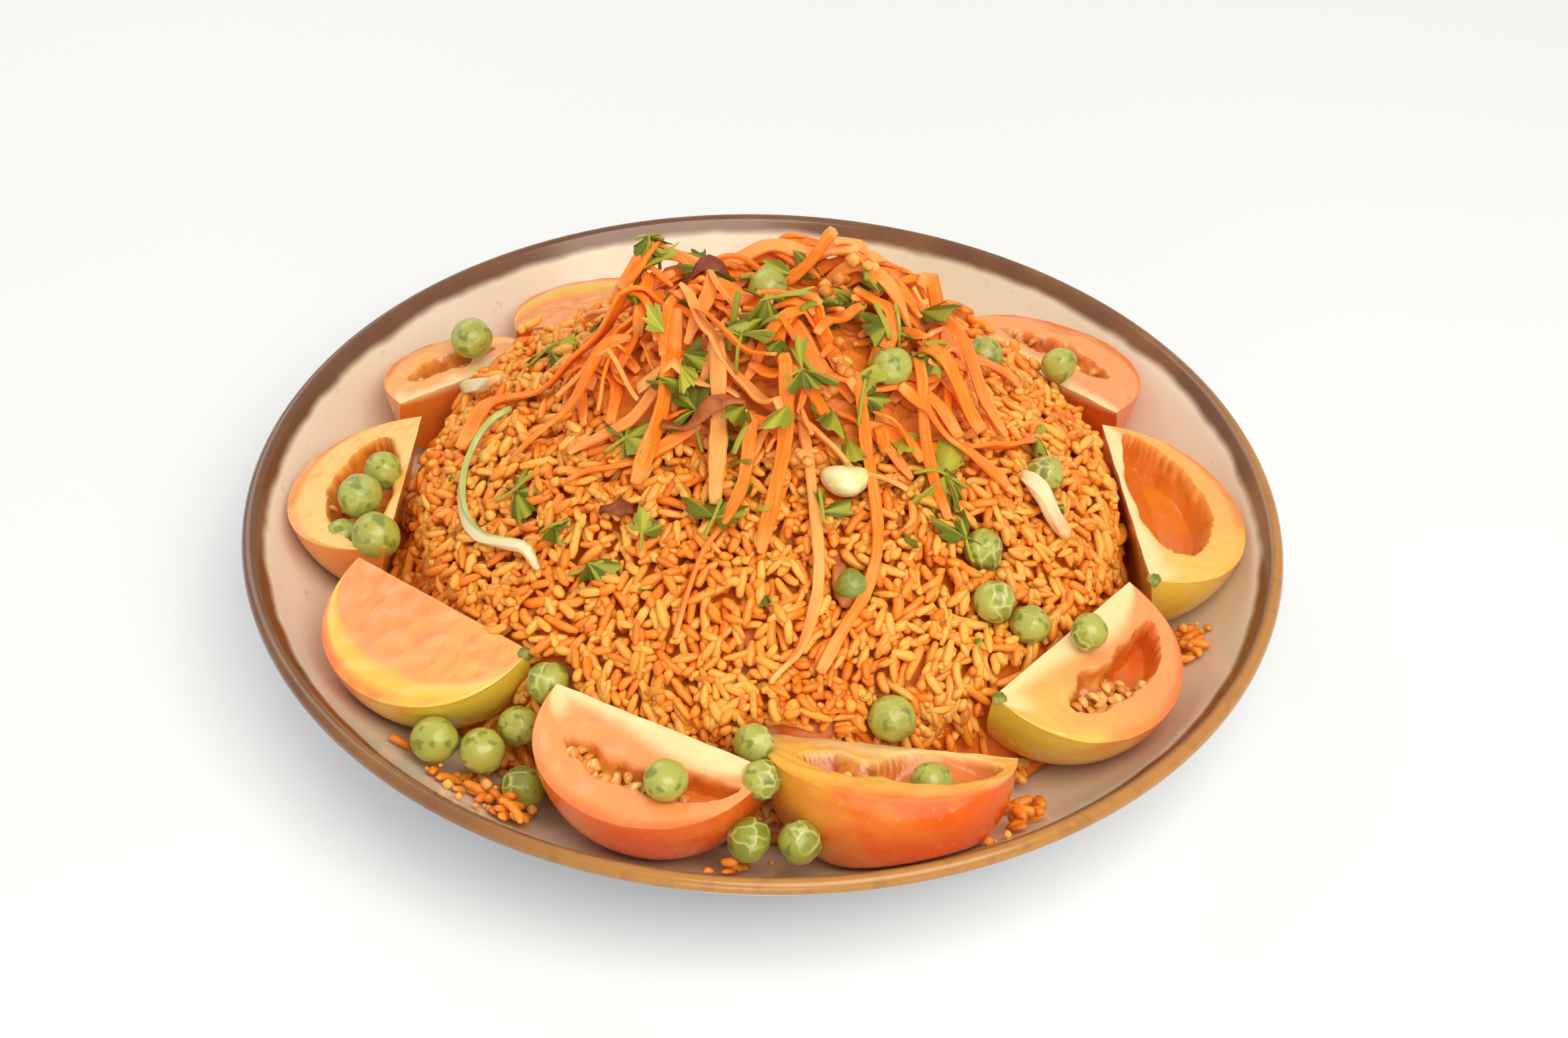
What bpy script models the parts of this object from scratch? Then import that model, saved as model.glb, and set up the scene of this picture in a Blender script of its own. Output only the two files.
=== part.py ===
"""A plate of tomato rice.

A round glazed plate on a foot ring carries a mound of rice. Ten tomato wedges lie in a ring
round the mound, a nest of shredded carrot tops it, and peas, a pale bean and a few white
shreds are scattered over it. Sizes below are in millimetres; new_object turns them into metres.
X points right, Y points away from the diner, Z points up, and the origin is the middle of the
foot ring, on the table.
"""
import math
import random

import bmesh
import bpy
from mathutils import Vector, geometry, noise

MILLIMETRE = 0.001
TAU = 2 * math.pi
UP = Vector((0, 0, 1))

# Plate
PLATE_RADIUS = 115
PLATE_HEIGHT = 34
PLATE_STEPS = 52
OUTER_ARC_STEPS = 5
INNER_ARC_STEPS = 6
FOOT_INNER = 52
FOOT_OUTER = 57
FOOT_HEIGHT = 3
OUTER_BEND = Vector((62, 63.9))       # centre of the outer wall's arc, as radius and height
OUTER_BEND_RADIUS = 60.9
INNER_BEND = Vector((65, 61.5))       # centre of the inner wall's arc
INNER_BEND_RADIUS = 54.1
INNER_BEND_END = 57                   # degrees from straight down to the lip
OUTER_BEND_END = 60.6
FLOOR_HEIGHT = INNER_BEND.y - INNER_BEND_RADIUS

# Clearances
CONTACT_GAP = 0.8                     # food to the plate's ideal surface
CUT_GAP = 0.4                         # food to the food that is cut to fit it
SEAT_FLATNESS = 0.795                 # inner radius of a twenty-sided ball of radius 1
SCRAP = 0.003                         # edges shorter than this are merged after a cut

# Mound of rice
MOUND_CENTRE = Vector((1, 4))
MOUND_SHOULDER = 76                   # radius where the crown turns into the flank
MOUND_FOOT = 86
MOUND_SHOULDER_HEIGHT = 34
MOUND_RISE = 32                       # crown above the shoulder
MOUND_DROP = 17.5                     # flank below the shoulder
MOUND_ROLL = 1.3                      # slow unevenness of the crown
GRAIN_BUMP = 1.8                      # height of the grain-sized bumps
GRAIN_LENGTH = 3.1                    # size of one bump
GRAIN_SPACING = 5.1

# Nest of shredded carrot
NEST_CENTRE = Vector((2, 9))
NEST_REACH = Vector((44, 29))
NEST_BASE = 61
NEST_RISE = 21
NEST_EDGE = 1.6                       # least thickness, at its edge
NEST_UNDER = 1.4                      # underside above the tallest grains
NEST_BUMP = 2.4
NEST_SPACING = 7.5
SHRED_WIDTH = 2.8
SHRED_THICKNESS = 1.5
SHRED_STEP = 10
SHRED_CLEARANCE = 3.6                 # a shred's middle above the mound, clear of the grains

# Tomato wedges: angle round the plate, distance and height of the core line, yaw, tilt of the
# cut face below level, half length, radius, angle between the two cuts, depth of the seed hollow
WEDGES = {
    "tomato_wedge_1": (-149, 78, 37, -24, 14, 24, 27, 76, 1.2),
    "tomato_wedge_2": (-104, 77, 37, 13, 5, 25, 27, 80, 4.5),
    "tomato_wedge_3": (-69, 78, 32, 26, -22, 26, 27, 66, 7.0),
    "tomato_wedge_4": (-35, 78, 38, 4, 16, 24, 27, 84, 4.0),
    "tomato_wedge_5": (1, 80, 38, -7, 14, 27, 28, 68, 6.0),
    "tomato_wedge_6": (40, 79, 36, -12, 12, 25, 28, 66, 5.0),
    "tomato_wedge_7": (77, 76, 34, -6, 14, 25, 27, 66, 4.0),
    "tomato_wedge_8": (119, 78, 33, 15, 14, 24, 27, 66, 1.2),
    "tomato_wedge_9": (150, 80, 36, 23, 14, 19, 23, 66, 4.0),
    "tomato_wedge_10": (-180, 80, 37, 3, 14, 23, 27, 66, 6.0),
}
WEDGE_STATIONS = 8
WEDGE_TAPER = 0.85
FACE_STOPS = (0.24, 0.42, 0.66, 0.84)  # across the cut face, from the core to the flesh band
HOLLOW_STOPS = (2, 3)                 # the two of them, counted from 1, that the seed hollow lowers
SKIN_STEPS = 4

# Peas: place of the centre and diameter
PEAS = (
    (-89, -6, 37, 10.4), (-84, -18, 36, 10.4), (-85, 3, 37, 8.7), (-92, -13, 31, 8.6),
    (-70, 49, 40, 9.8), (-43, -60, 34, 9.6), (-49, -65, 26, 8.8), (-66, -69, 25, 9.8),
    (-56, -71, 24, 9.8), (-47, -77, 20, 9.4), (-17, -92, 39, 8.8), (0, -78, 36, 9.0),
    (2, -88, 36, 8.4), (0, -96, 27, 9.2), (10, -97, 28, 9.2), (28, -68, 35, 9.8),
    (36, -86, 35, 8.8), (69, -46, 41, 8.2), (57, -43, 40, 9.2), (49, -42, 45, 8.9),
    (47, -29, 48, 9.3), (19, -45, 50, 8.2), (26, -3, 76, 9.3), (-1, 15, 82, 9.2),
    (67, 46, 41, 8.4), (49, 41, 47, 8.8), (61, -2, 47, 8.4),
)
BEAN = (17, -25, 62)
BEAN_SIZE = Vector((11, 7, 6.5))

# Shreds of the nest: places of the bends, and height above the nest or the rice below
SHREDS = (
    ((18, -6, 0), (21, -17, 1), (24, -35, 0), (22, -47, 0), (13, -63, 0)),
    ((7, -12, 0), (10, -30, 1), (12, -48, 0), (9, -59, 0), (3, -67, 0)),
    ((3, -8, 1), (4, -22, 2), (0, -42, 0)),
    ((-11, -4, 0), (-10, -19, 2), (-10, -33, 0)),
    ((-20, 3, 0), (-22, -12, 2), (-27, -25, 0)),
    ((-42, -12, 1), (-28, -10, 1), (-16, -4, 0)),
    ((-42, -20, 0), (-28, -20, 0), (-14, -14, 0)),
    ((-19, 8, 1), (-13, -4, 2), (-3, -12, 1), (5, -20, 1)),
    ((-20, 6, 0), (-14, 12, 3), (-6, 10, 2), (0, 2, 0)),
    ((-20, 10, 0), (-36, 11, 1), (-50, 13, 0), (-62, 16, 0), (-68, 6, 0)),
    ((31, 6, 0), (33, -9, 3), (35, -18, 1), (39, -27, 0)),
    ((12, -8, 0), (22, -8, 3), (34, -5, 4), (41, -10, 2)),
    ((20, -13, 0), (36, -12, 0), (50, -3, 0), (60, 8, 0)),
    ((28, -8, 0), (42, -12, 1), (52, -13, 0)),
    ((6, -14, 0), (18, -22, 1), (30, -24, 0)),
    ((9, 4, 0), (2, -4, 3), (5, -10, 3), (13, -10, 0)),
    ((2, 8, 0), (-9, 0, 3), (-14, -9, 1)),
    ((22, 24, 0), (10, 33, 1), (-4, 36, 0)),
    ((4, 20, 0), (7, 10, 3), (11, 0, 2), (18, -7, 0)),
    ((18, 14, 0), (26, 8, 3), (22, -1, 0)),
    ((34, 18, 0), (43, 10, 3), (52, 2, 0)),
    ((-3, -14, 0), (-5, -32, 2), (-13, -45, 0), (-17, -58, 0)),
    ((-4, -8, 1), (6, -12, 3), (16, -14, 0)),
    ((-30, 20, 0), (-16, 26, 1), (2, 28, 1), (18, 24, 0)),
    ((32, 20, 0), (44, 27, 0), (56, 27, 0)),
    ((-30, 4, 0), (-45, -2, 1), (-55, -7, 0)),
    ((-34, 14, 0), (-24, 20, 3), (-12, 18, 2), (-4, 22, 0)),
    ((10, 22, 0), (20, 20, 3), (30, 12, 0)),
)

# White shreds on the rice, each its own piece: bends, width and thickness
WHITE_SHREDS = {
    "white_shred_left": (((-57, 9, 1), (-64, 3, 0), (-66, -9, 0), (-62, -24, 0), (-47, -38, 0)), 2.6, 1.4),
    "white_shred_right": (((56, -7, 0.4), (60, -13, 0.4), (65, -22, 0.4)), 4.0, 2.0),
    "white_shred_back": (((-70, 31, 0), (-61, 22, 0)), 3.0, 1.6),
}

# Coriander leaves: place, size and heading in degrees; those beyond the nest lie on the rice
LEAVES = (
    (-27, 21, 9, 40), (-1, 2, 11, 10), (-15, -14, 10, 110), (7, -13, 9, 20), (14, 12, 9, 60),
    (27, 8, 8, 100), (20, -12, 8, 80), (38, -19, 13, 10), (-6, -6, 9, 80), (-30, -14, 9, 30),
    (-10, -37, 9, 70), (12, -34, 8, 100), (-36, -42, 8, 0), (-53, -18, 9, 10), (-44, -30, 6, 0),
    (43, -30, 9, 110), (-50, 30, 10, 10), (-25, -37, 7, 90),
)
LEAF_THICKNESS = 0.7
LEAF_LOBES = 4

# Fried shallot on the nest and on the rice: bends, and height above what is below
NEST_SHALLOTS = (
    ((-20, 15, 0), (-14, 18, 1), (-8, 15, 0)),
    ((-22, -16, 0), (-13, -16, 1), (-5, -15, 1)),
)
RICE_SHALLOTS = (
    ((-34, -30, -1.6), (-27, -31, -1.6)),
    ((16, -42, -1.6), (18, -50, -1.6)),
)
SHALLOT_WIDTH = 4.5


def polar(degrees, radius, height=0.0):
    """The point at a distance and an angle round the plate."""
    angle = math.radians(degrees)
    return Vector((radius * math.cos(angle), radius * math.sin(angle), height))


def plate_surface(radius):
    """Height of the plate's inner surface at a distance from the middle."""
    if radius <= INNER_BEND.x:
        return FLOOR_HEIGHT
    across = min(radius - INNER_BEND.x, INNER_BEND_RADIUS)
    return INNER_BEND.y - math.sqrt(INNER_BEND_RADIUS ** 2 - across ** 2)


def settle(point):
    """Press a point that would sink into the glaze back to just above it."""
    radius = math.hypot(point.x, point.y)
    if radius <= INNER_BEND.x:
        return Vector((point.x, point.y, max(point.z, FLOOR_HEIGHT + CONTACT_GAP)))
    bend = Vector((point.x, point.y, 0)) * (INNER_BEND.x / radius) + UP * INNER_BEND.y
    arm = point - bend
    reach = INNER_BEND_RADIUS - CONTACT_GAP
    return bend + arm * min(1, reach / arm.length)


def mound_height(x, y):
    """Smooth top of the mound of rice, before its grain-sized bumps."""
    radius = math.hypot(x - MOUND_CENTRE.x, y - MOUND_CENTRE.y)
    if radius > MOUND_SHOULDER:
        out = min((radius - MOUND_SHOULDER) / (MOUND_FOOT - MOUND_SHOULDER), 1)
        return MOUND_SHOULDER_HEIGHT - MOUND_DROP * (1 - (1 - out) ** 2)
    fall = (radius / MOUND_SHOULDER) ** 1.8
    roll = noise.noise(Vector((x / 19, y / 19, 3))) * MOUND_ROLL
    return MOUND_SHOULDER_HEIGHT + MOUND_RISE * (1 - fall) + roll * (1 - fall)


def nest_height(x, y):
    """Top of the carrot nest's mass, between its separate shreds."""
    across = ((x - NEST_CENTRE.x) / NEST_REACH.x) ** 2 + ((y - NEST_CENTRE.y) / NEST_REACH.y) ** 2
    return NEST_BASE + NEST_RISE * (1 - across)


def smooth_path(bends, step):
    """Points about one step apart on a smooth curve through the bends, kept above the mound."""
    ends = [2 * bends[0] - bends[1]] + list(bends) + [2 * bends[-1] - bends[-2]]
    points = []
    for before, start, end, after in zip(ends, ends[1:], ends[2:], ends[3:]):
        count = max(1, round((end - start).length / step))
        for i in range(count):
            t = i / count
            pull = (end - before) * t + (2 * before - 5 * start + 4 * end - after) * t ** 2
            points.append(start + 0.5 * (pull + (3 * start - 3 * end + after - before) * t ** 3))
    points.append(bends[-1].copy())
    for point in points:
        point.z = max(point.z, mound_height(point.x, point.y) + SHRED_CLEARANCE)
    return points


def on_top(places):
    """Bends given by place and height above the nest or the rice, as points."""
    points = []
    for x, y, lift in places:
        below = max(nest_height(x, y), mound_height(x, y) + SHRED_CLEARANCE)
        points.append(Vector((x, y, below + lift)))
    return points


def material(name, colour, roughness):
    """A Principled material with the piece's main colour and roughness."""
    made = bpy.data.materials.new(name)
    made.use_nodes = True
    shader = made.node_tree.nodes["Principled BSDF"]
    shader.inputs["Base Color"].default_value = (*colour, 1)
    shader.inputs["Roughness"].default_value = roughness
    shader.inputs["Metallic"].default_value = 0
    return made


def new_object(name, bm, finish, sharp_angle=40):
    """Turn a closed bmesh in millimetres into a named object in metres."""
    for vert in bm.verts:
        vert.co *= MILLIMETRE
    bmesh.ops.triangulate(bm, faces=bm.faces)
    bmesh.ops.recalc_face_normals(bm, faces=bm.faces)
    mesh = bpy.data.meshes.new(name)
    bm.to_mesh(mesh)
    bm.free()
    mesh.materials.append(finish)
    mesh.shade_smooth()
    mesh.set_sharp_from_angle(angle=math.radians(sharp_angle))
    obj = bpy.data.objects.new(name, mesh)
    bpy.context.scene.collection.objects.link(obj)
    return obj


def combine(target, others, operation):
    """Join other objects to a target, or cut them from it, and remove them."""
    group = bpy.data.collections.new(operation)
    for other in others:
        group.objects.link(other)
    modifier = target.modifiers.new(operation, "BOOLEAN")
    modifier.operation = operation
    modifier.operand_type = "COLLECTION"
    modifier.collection = group
    modifier.solver = "EXACT"
    view = bpy.context.evaluated_depsgraph_get()
    made = bpy.data.meshes.new_from_object(target.evaluated_get(view))
    target.modifiers.clear()
    old = target.data
    target.data = made
    bpy.data.meshes.remove(old)
    for other in others:
        bpy.data.meshes.remove(other.data)
    bpy.data.collections.remove(group)
    keep_main_body(target)


def keep_main_body(obj):
    """Merge the slivers that a cut leaves and drop loose scraps."""
    bm = bmesh.new()
    bm.from_mesh(obj.data)
    bmesh.ops.triangulate(bm, faces=bm.faces)
    bmesh.ops.remove_doubles(bm, verts=bm.verts, dist=SCRAP * MILLIMETRE)
    bmesh.ops.dissolve_degenerate(bm, edges=bm.edges, dist=SCRAP * MILLIMETRE)
    bmesh.ops.triangulate(bm, faces=bm.faces)
    unseen = set(bm.verts)
    bodies = []
    while unseen:
        body = [unseen.pop()]
        for vert in body:
            for edge in vert.link_edges:
                other = edge.other_vert(vert)
                if other in unseen:
                    unseen.remove(other)
                    body.append(other)
        bodies.append(body)
    bodies.sort(key=len)
    scraps = [vert for body in bodies[:-1] for vert in body]
    bmesh.ops.delete(bm, geom=scraps, context="VERTS")
    bm.to_mesh(obj.data)
    bm.free()


def plate(finish):
    """The plate: one outline, turned about the upright axis."""
    outline = [Vector((0, FOOT_HEIGHT / 2)), Vector((FOOT_INNER - 1, FOOT_HEIGHT / 2))]
    outline += [Vector((FOOT_INNER, 0)), Vector((FOOT_OUTER, 0)), Vector((FOOT_OUTER + 2, FOOT_HEIGHT))]
    for i in range(OUTER_ARC_STEPS + 1):
        angle = math.radians(OUTER_BEND_END * i / OUTER_ARC_STEPS)
        arm = Vector((math.sin(angle), -math.cos(angle)))
        outline.append(OUTER_BEND + arm * OUTER_BEND_RADIUS)
    outline[-1] = Vector((PLATE_RADIUS, PLATE_HEIGHT - 1.6))
    outline += [Vector((PLATE_RADIUS - 0.6, PLATE_HEIGHT - 0.4)), Vector((PLATE_RADIUS - 2, PLATE_HEIGHT))]
    outline.append(Vector((PLATE_RADIUS - 3.4, PLATE_HEIGHT - 0.5)))
    for i in range(INNER_ARC_STEPS, -1, -1):
        angle = math.radians(INNER_BEND_END * i / INNER_ARC_STEPS)
        arm = Vector((math.sin(angle), -math.cos(angle)))
        outline.append(INNER_BEND + arm * INNER_BEND_RADIUS)
    outline.append(Vector((0, FLOOR_HEIGHT)))
    bm = bmesh.new()
    verts = [bm.verts.new((point.x, 0, point.y)) for point in outline]
    edges = [bm.edges.new(pair) for pair in zip(verts, verts[1:])]
    bmesh.ops.spin(bm, geom=verts + edges, cent=(0, 0, 0), axis=UP, angle=TAU,
                   steps=PLATE_STEPS, use_duplicate=False)
    bmesh.ops.remove_doubles(bm, verts=bm.verts, dist=SCRAP)
    return new_object("plate", bm, finish, 50)


def slab(name, centre, reach, spacing, top, under, finish):
    """A closed solid between two height functions, over an ellipse."""
    rings = round(max(reach) / spacing)
    bm = bmesh.new()
    rims = []
    for height, sparse in ((top, 1), (under, 4)):
        places = []
        for ring in range(0, rings + 1):
            if ring % sparse and ring != rings:
                continue
            count = 6 * rings if ring == rings else max(1, 6 * ring // sparse)
            share = ring / rings
            for i in range(count):
                angle = TAU * (i + 0.5 * (ring != rings and ring % 2)) / count
                place = Vector((reach.x * share * math.cos(angle), reach.y * share * math.sin(angle)))
                if ring != rings:
                    wander = [noise.noise(Vector((place.x, place.y, level))) for level in (7.3, 9.7)]
                    place += Vector(wander) * spacing * 0.3
                places.append(centre + place)
        flat, _, faces, *_ = geometry.delaunay_2d_cdt(places, [], [], 0, 1e-5)
        verts = [bm.verts.new((p.x, p.y, height(p.x, p.y))) for p in flat]
        for face in faces:
            corners = [verts[i] for i in face]
            bm.faces.new(corners if height is top else corners[::-1])
        edge = [vert for vert in verts if vert.is_boundary]
        edge.sort(key=lambda vert: math.atan2(vert.co.y - centre.y, vert.co.x - centre.x))
        rims.append(edge)
    upper, lower = rims
    for i in range(len(upper)):
        bm.faces.new((lower[i - 1], lower[i], upper[i], upper[i - 1]))
    return new_object(name, bm, finish, 80)


def ribbon(name, bends, width, thickness, finish, step=SHRED_STEP):
    """A flat shred along a smooth curve, tapered at both ends."""
    path = smooth_path(bends, step)
    bm = bmesh.new()
    rings = []
    for i, point in enumerate(path):
        along = (path[min(i + 1, len(path) - 1)] - path[max(i - 1, 0)]).normalized()
        side = along.cross(UP).normalized()
        lean = math.sin(i * 0.9 + point.x * 0.1) * 0.5
        across = side * math.cos(lean) + side.cross(along) * math.sin(lean)
        lift = across.cross(along)
        taper = 0.62 if i in (0, len(path) - 1) else 1
        half = across * width * taper / 2
        rise = lift * thickness * taper / 2
        rings.append([bm.verts.new(point + a) for a in (half + rise, rise - half, -half - rise, half - rise)])
    for first, second in zip(rings, rings[1:]):
        for i in range(4):
            bm.faces.new((first[i - 1], first[i], second[i], second[i - 1]))
    bm.faces.new(rings[0])
    bm.faces.new(rings[-1][::-1])
    return new_object(name, bm, finish)


def leaf(name, place, size, heading, finish):
    """A lobed coriander leaf: a thin wavy solid with both faces split alike."""
    bm = bmesh.new()
    points = LEAF_LOBES * 2
    layers = []
    for drop in (0, LEAF_THICKNESS):
        ring = []
        for i in range(points):
            angle = math.radians(heading) + TAU * i / points
            reach = size * (0.52 if i % 2 else 0.27)
            wave = math.sin(3 * angle) * size * 0.06
            offset = Vector((math.cos(angle) * reach, math.sin(angle) * reach * 0.8, wave - drop))
            ring.append(bm.verts.new(place + offset))
        layers.append((ring, bm.verts.new(place + UP * (size * 0.08 - drop))))
    (upper, upper_middle), (lower, lower_middle) = layers
    for i in range(points):
        bm.faces.new((upper_middle, upper[i - 1], upper[i]))
        bm.faces.new((lower_middle, lower[i], lower[i - 1]))
        bm.faces.new((upper[i - 1], lower[i - 1], lower[i], upper[i]))
    return new_object(name, bm, finish)


def wedge(name, finish, grow=0.0, reach_out=0.0, hollow=True):
    """A tomato wedge: the core line, one cut face on show, the skin, and the hidden cut."""
    turn, distance, height, yaw, tilt, half_length, radius, opening, depth = WEDGES[name]
    rim_way = polar(turn, 1)
    ring_way = polar(turn + 90, 1)
    yaw = math.radians(yaw)
    along = ring_way * math.cos(yaw) + rim_way * math.sin(yaw)
    out = rim_way * math.cos(yaw) - ring_way * math.sin(yaw)
    core = polar(turn, distance, height)
    stops = [(0, 0)] + [(stop, tilt) for stop in FACE_STOPS]
    stops += [(1, tilt + opening * i / SKIN_STEPS) for i in range(SKIN_STEPS + 1)]
    stops.append((0.5, tilt + opening))
    bm = bmesh.new()
    face_up = out * math.sin(math.radians(tilt)) + UP * math.cos(math.radians(tilt))
    stations = []
    for station in range(1, WEDGE_STATIONS):
        angle = math.pi * station / WEDGE_STATIONS
        middle = core - along * half_length * math.cos(angle)
        bulge = (radius + reach_out) * math.sin(angle) ** WEDGE_TAPER
        ring = []
        for number, (share, degrees) in enumerate(stops):
            way = math.radians(degrees)
            point = middle + (out * math.cos(way) - UP * math.sin(way)) * bulge * share
            if hollow and number in HOLLOW_STOPS:
                point -= face_up * depth * math.sin(angle) ** 1.5
            ring.append(bm.verts.new(point))
        stations.append(ring)
    for first, second in zip(stations, stations[1:]):
        for i in range(len(first)):
            bm.faces.new((first[i - 1], first[i], second[i], second[i - 1]))
    for ring, side in ((stations[0], -1), (stations[-1], 1)):
        tip = bm.verts.new(core + along * side * half_length)
        for i in range(len(ring)):
            bm.faces.new((ring[i - 1], ring[i], tip))
    for vert in bm.verts:
        vert.co = settle(vert.co)
    bmesh.ops.recalc_face_normals(bm, faces=bm.faces)
    moves = [vert.normal * min(vert.calc_shell_factor(), 2) * grow for vert in bm.verts]
    for vert, move in zip(bm.verts, moves):
        vert.co += move
    return new_object(name, bm, finish, 50)


def pea(name, number, finish):
    """A slightly flattened, dimpled pea."""
    x, y, z, diameter = PEAS[number]
    draw = random.Random(number)
    dimple = Vector((draw.uniform(-1, 1), draw.uniform(-1, 1), draw.uniform(0.2, 1))).normalized()
    squash = draw.uniform(0.9, 0.97)
    bm = bmesh.new()
    bmesh.ops.create_icosphere(bm, subdivisions=2, radius=diameter / 2)
    for vert in bm.verts:
        press = max(0, vert.co.normalized().dot(dimple)) ** 6
        vert.co *= 1 - 0.06 * press
        vert.co.z *= squash
        vert.co += Vector((x, y, z))
    return new_object(name, bm, finish)


def bean(name, finish):
    """The pale bean at the nest's front edge."""
    bm = bmesh.new()
    bmesh.ops.create_icosphere(bm, subdivisions=2, radius=0.5)
    for vert in bm.verts:
        scaled = Vector(a * b for a, b in zip(vert.co, BEAN_SIZE))
        scaled.y += 0.06 * scaled.x ** 2
        vert.co = scaled + Vector(BEAN)
    return new_object(name, bm, finish)


def seat(place, diameter, finish):
    """A twenty-sided ball that holds a pea with its gap, to cut where the pea sinks in."""
    bm = bmesh.new()
    radius = (diameter / 2 + CUT_GAP) / SEAT_FLATNESS
    bmesh.ops.create_icosphere(bm, subdivisions=1, radius=radius)
    bmesh.ops.translate(bm, verts=bm.verts, vec=place)
    return new_object("seat", bm, finish)


def seats(finish):
    """The seats of all the peas and of the bean."""
    cutters = [seat((x, y, z), diameter, finish) for x, y, z, diameter in PEAS]
    cutters.append(seat(BEAN, BEAN_SIZE.x, finish))
    return cutters


def main():
    """Remove what the scene holds and model the plate of rice."""
    for obj in list(bpy.data.objects):
        bpy.data.objects.remove(obj)
    glaze = material("glaze", (0.78, 0.69, 0.55), 0.25)
    rice_grain = material("tomato_rice", (0.88, 0.45, 0.12), 0.55)
    carrot = material("carrot", (0.95, 0.32, 0.06), 0.5)
    coriander = material("coriander", (0.12, 0.22, 0.02), 0.5)
    shallot = material("fried_shallot", (0.30, 0.10, 0.03), 0.6)
    tomato = material("tomato", (0.92, 0.42, 0.18), 0.3)
    pea_skin = material("pea", (0.42, 0.52, 0.12), 0.4)
    pale = material("pale_shred", (0.86, 0.80, 0.58), 0.4)

    plate(glaze)

    for name in WEDGES:
        piece = wedge(name, tomato)
        combine(piece, seats(tomato), "DIFFERENCE")
    for number in range(len(PEAS)):
        pea(f"pea_{number + 1}", number, pea_skin)
    bean("bean", pale)
    for name, (bends, width, thickness) in WHITE_SHREDS.items():
        ribbon(name, on_top(bends), width, thickness, pale)

    def rice_top(x, y):
        return mound_height(x, y) + noise.cell(Vector((x, y, 0)) / GRAIN_LENGTH) * GRAIN_BUMP

    def rice_under(x, y):
        return plate_surface(math.hypot(x, y)) + CONTACT_GAP

    def nest_top(x, y):
        ripple = (noise.cell(Vector((x, y, 0)) / GRAIN_LENGTH) - 1) * NEST_BUMP
        return max(nest_height(x, y) + ripple, nest_under(x, y) + NEST_EDGE)

    def nest_under(x, y):
        return mound_height(x, y) + GRAIN_BUMP + NEST_UNDER

    rice = slab("rice", MOUND_CENTRE, Vector((MOUND_FOOT, MOUND_FOOT)), GRAIN_SPACING,
                rice_top, rice_under, rice_grain)
    nest = slab("carrot_nest", NEST_CENTRE, NEST_REACH, NEST_SPACING, nest_top, nest_under, carrot)

    nest_pieces = []
    for number, bends in enumerate(SHREDS):
        width = SHRED_WIDTH * (0.8 + 0.1 * (number % 5))
        nest_pieces.append(ribbon(f"shred_{number}", on_top(bends), width, SHRED_THICKNESS, carrot))
    nest_pieces += [ribbon("shallot", on_top(bends), SHALLOT_WIDTH, 2, shallot, 5) for bends in NEST_SHALLOTS]
    rice_pieces = [ribbon("shallot", on_top(bends), SHALLOT_WIDTH, 2, shallot, 5) for bends in RICE_SHALLOTS]
    for x, y, size, heading in LEAVES:
        on_nest = nest_height(x, y) > mound_height(x, y) + SHRED_CLEARANCE
        height = nest_top(x, y) + 0.6 if on_nest else mound_height(x, y) + GRAIN_BUMP / 2
        made = leaf("leaf", Vector((x, y, height)), size, heading, coriander)
        (nest_pieces if on_nest else rice_pieces).append(made)
    combine(nest, nest_pieces, "UNION")
    combine(rice, rice_pieces, "UNION")
    combine(nest, seats(carrot), "DIFFERENCE")
    wedge_seats = [wedge(name, tomato, CUT_GAP, 4, False) for name in WEDGES]
    combine(rice, wedge_seats + seats(rice_grain), "DIFFERENCE")


if __name__ == "__main__":
    main()
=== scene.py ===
"""Looks of the plate of tomato rice: glaze, grains, tomato wedges, peas, carrot nest and herbs.

Laid out as a Blender add-on and run as a script. Lengths are in millimetres unless a name says
metres; a finished piece is scaled to metres when its mesh is made. X points right, Y away from
the diner and Z up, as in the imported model.
"""

import math
import random

import bpy
import numpy as np
from bpy.props import FloatProperty, FloatVectorProperty, IntProperty, PointerProperty
from bpy.types import Operator, Panel, PropertyGroup
from mathutils import Matrix, Vector, noise
from mathutils.bvhtree import BVHTree


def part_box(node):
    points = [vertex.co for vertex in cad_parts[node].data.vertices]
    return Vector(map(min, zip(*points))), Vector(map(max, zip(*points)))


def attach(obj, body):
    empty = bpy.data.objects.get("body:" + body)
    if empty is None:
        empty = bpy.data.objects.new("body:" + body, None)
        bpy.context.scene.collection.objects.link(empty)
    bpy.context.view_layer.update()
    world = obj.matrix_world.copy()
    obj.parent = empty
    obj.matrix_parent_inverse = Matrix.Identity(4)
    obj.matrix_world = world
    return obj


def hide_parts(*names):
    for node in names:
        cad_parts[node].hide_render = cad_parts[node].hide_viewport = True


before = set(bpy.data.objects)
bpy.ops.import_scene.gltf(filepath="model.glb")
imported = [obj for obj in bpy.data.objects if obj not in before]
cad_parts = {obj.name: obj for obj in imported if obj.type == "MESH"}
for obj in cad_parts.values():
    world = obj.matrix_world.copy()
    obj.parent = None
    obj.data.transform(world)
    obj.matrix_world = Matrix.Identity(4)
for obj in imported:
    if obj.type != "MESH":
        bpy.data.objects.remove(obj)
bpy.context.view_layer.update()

bl_info = {
    "name": "Plate of tomato rice",
    "version": (1, 0, 0),
    "blender": (4, 5, 0),
    "location": "3D View > Sidebar > Tomato rice",
    "description": "Models a plate of tomato rice with tomato wedges, peas and a nest of carrot",
    "category": "Add Mesh",
}

MILLIMETRE = 0.001
TAU = 2 * math.pi
UP = Vector((0, 0, 1))

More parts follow.
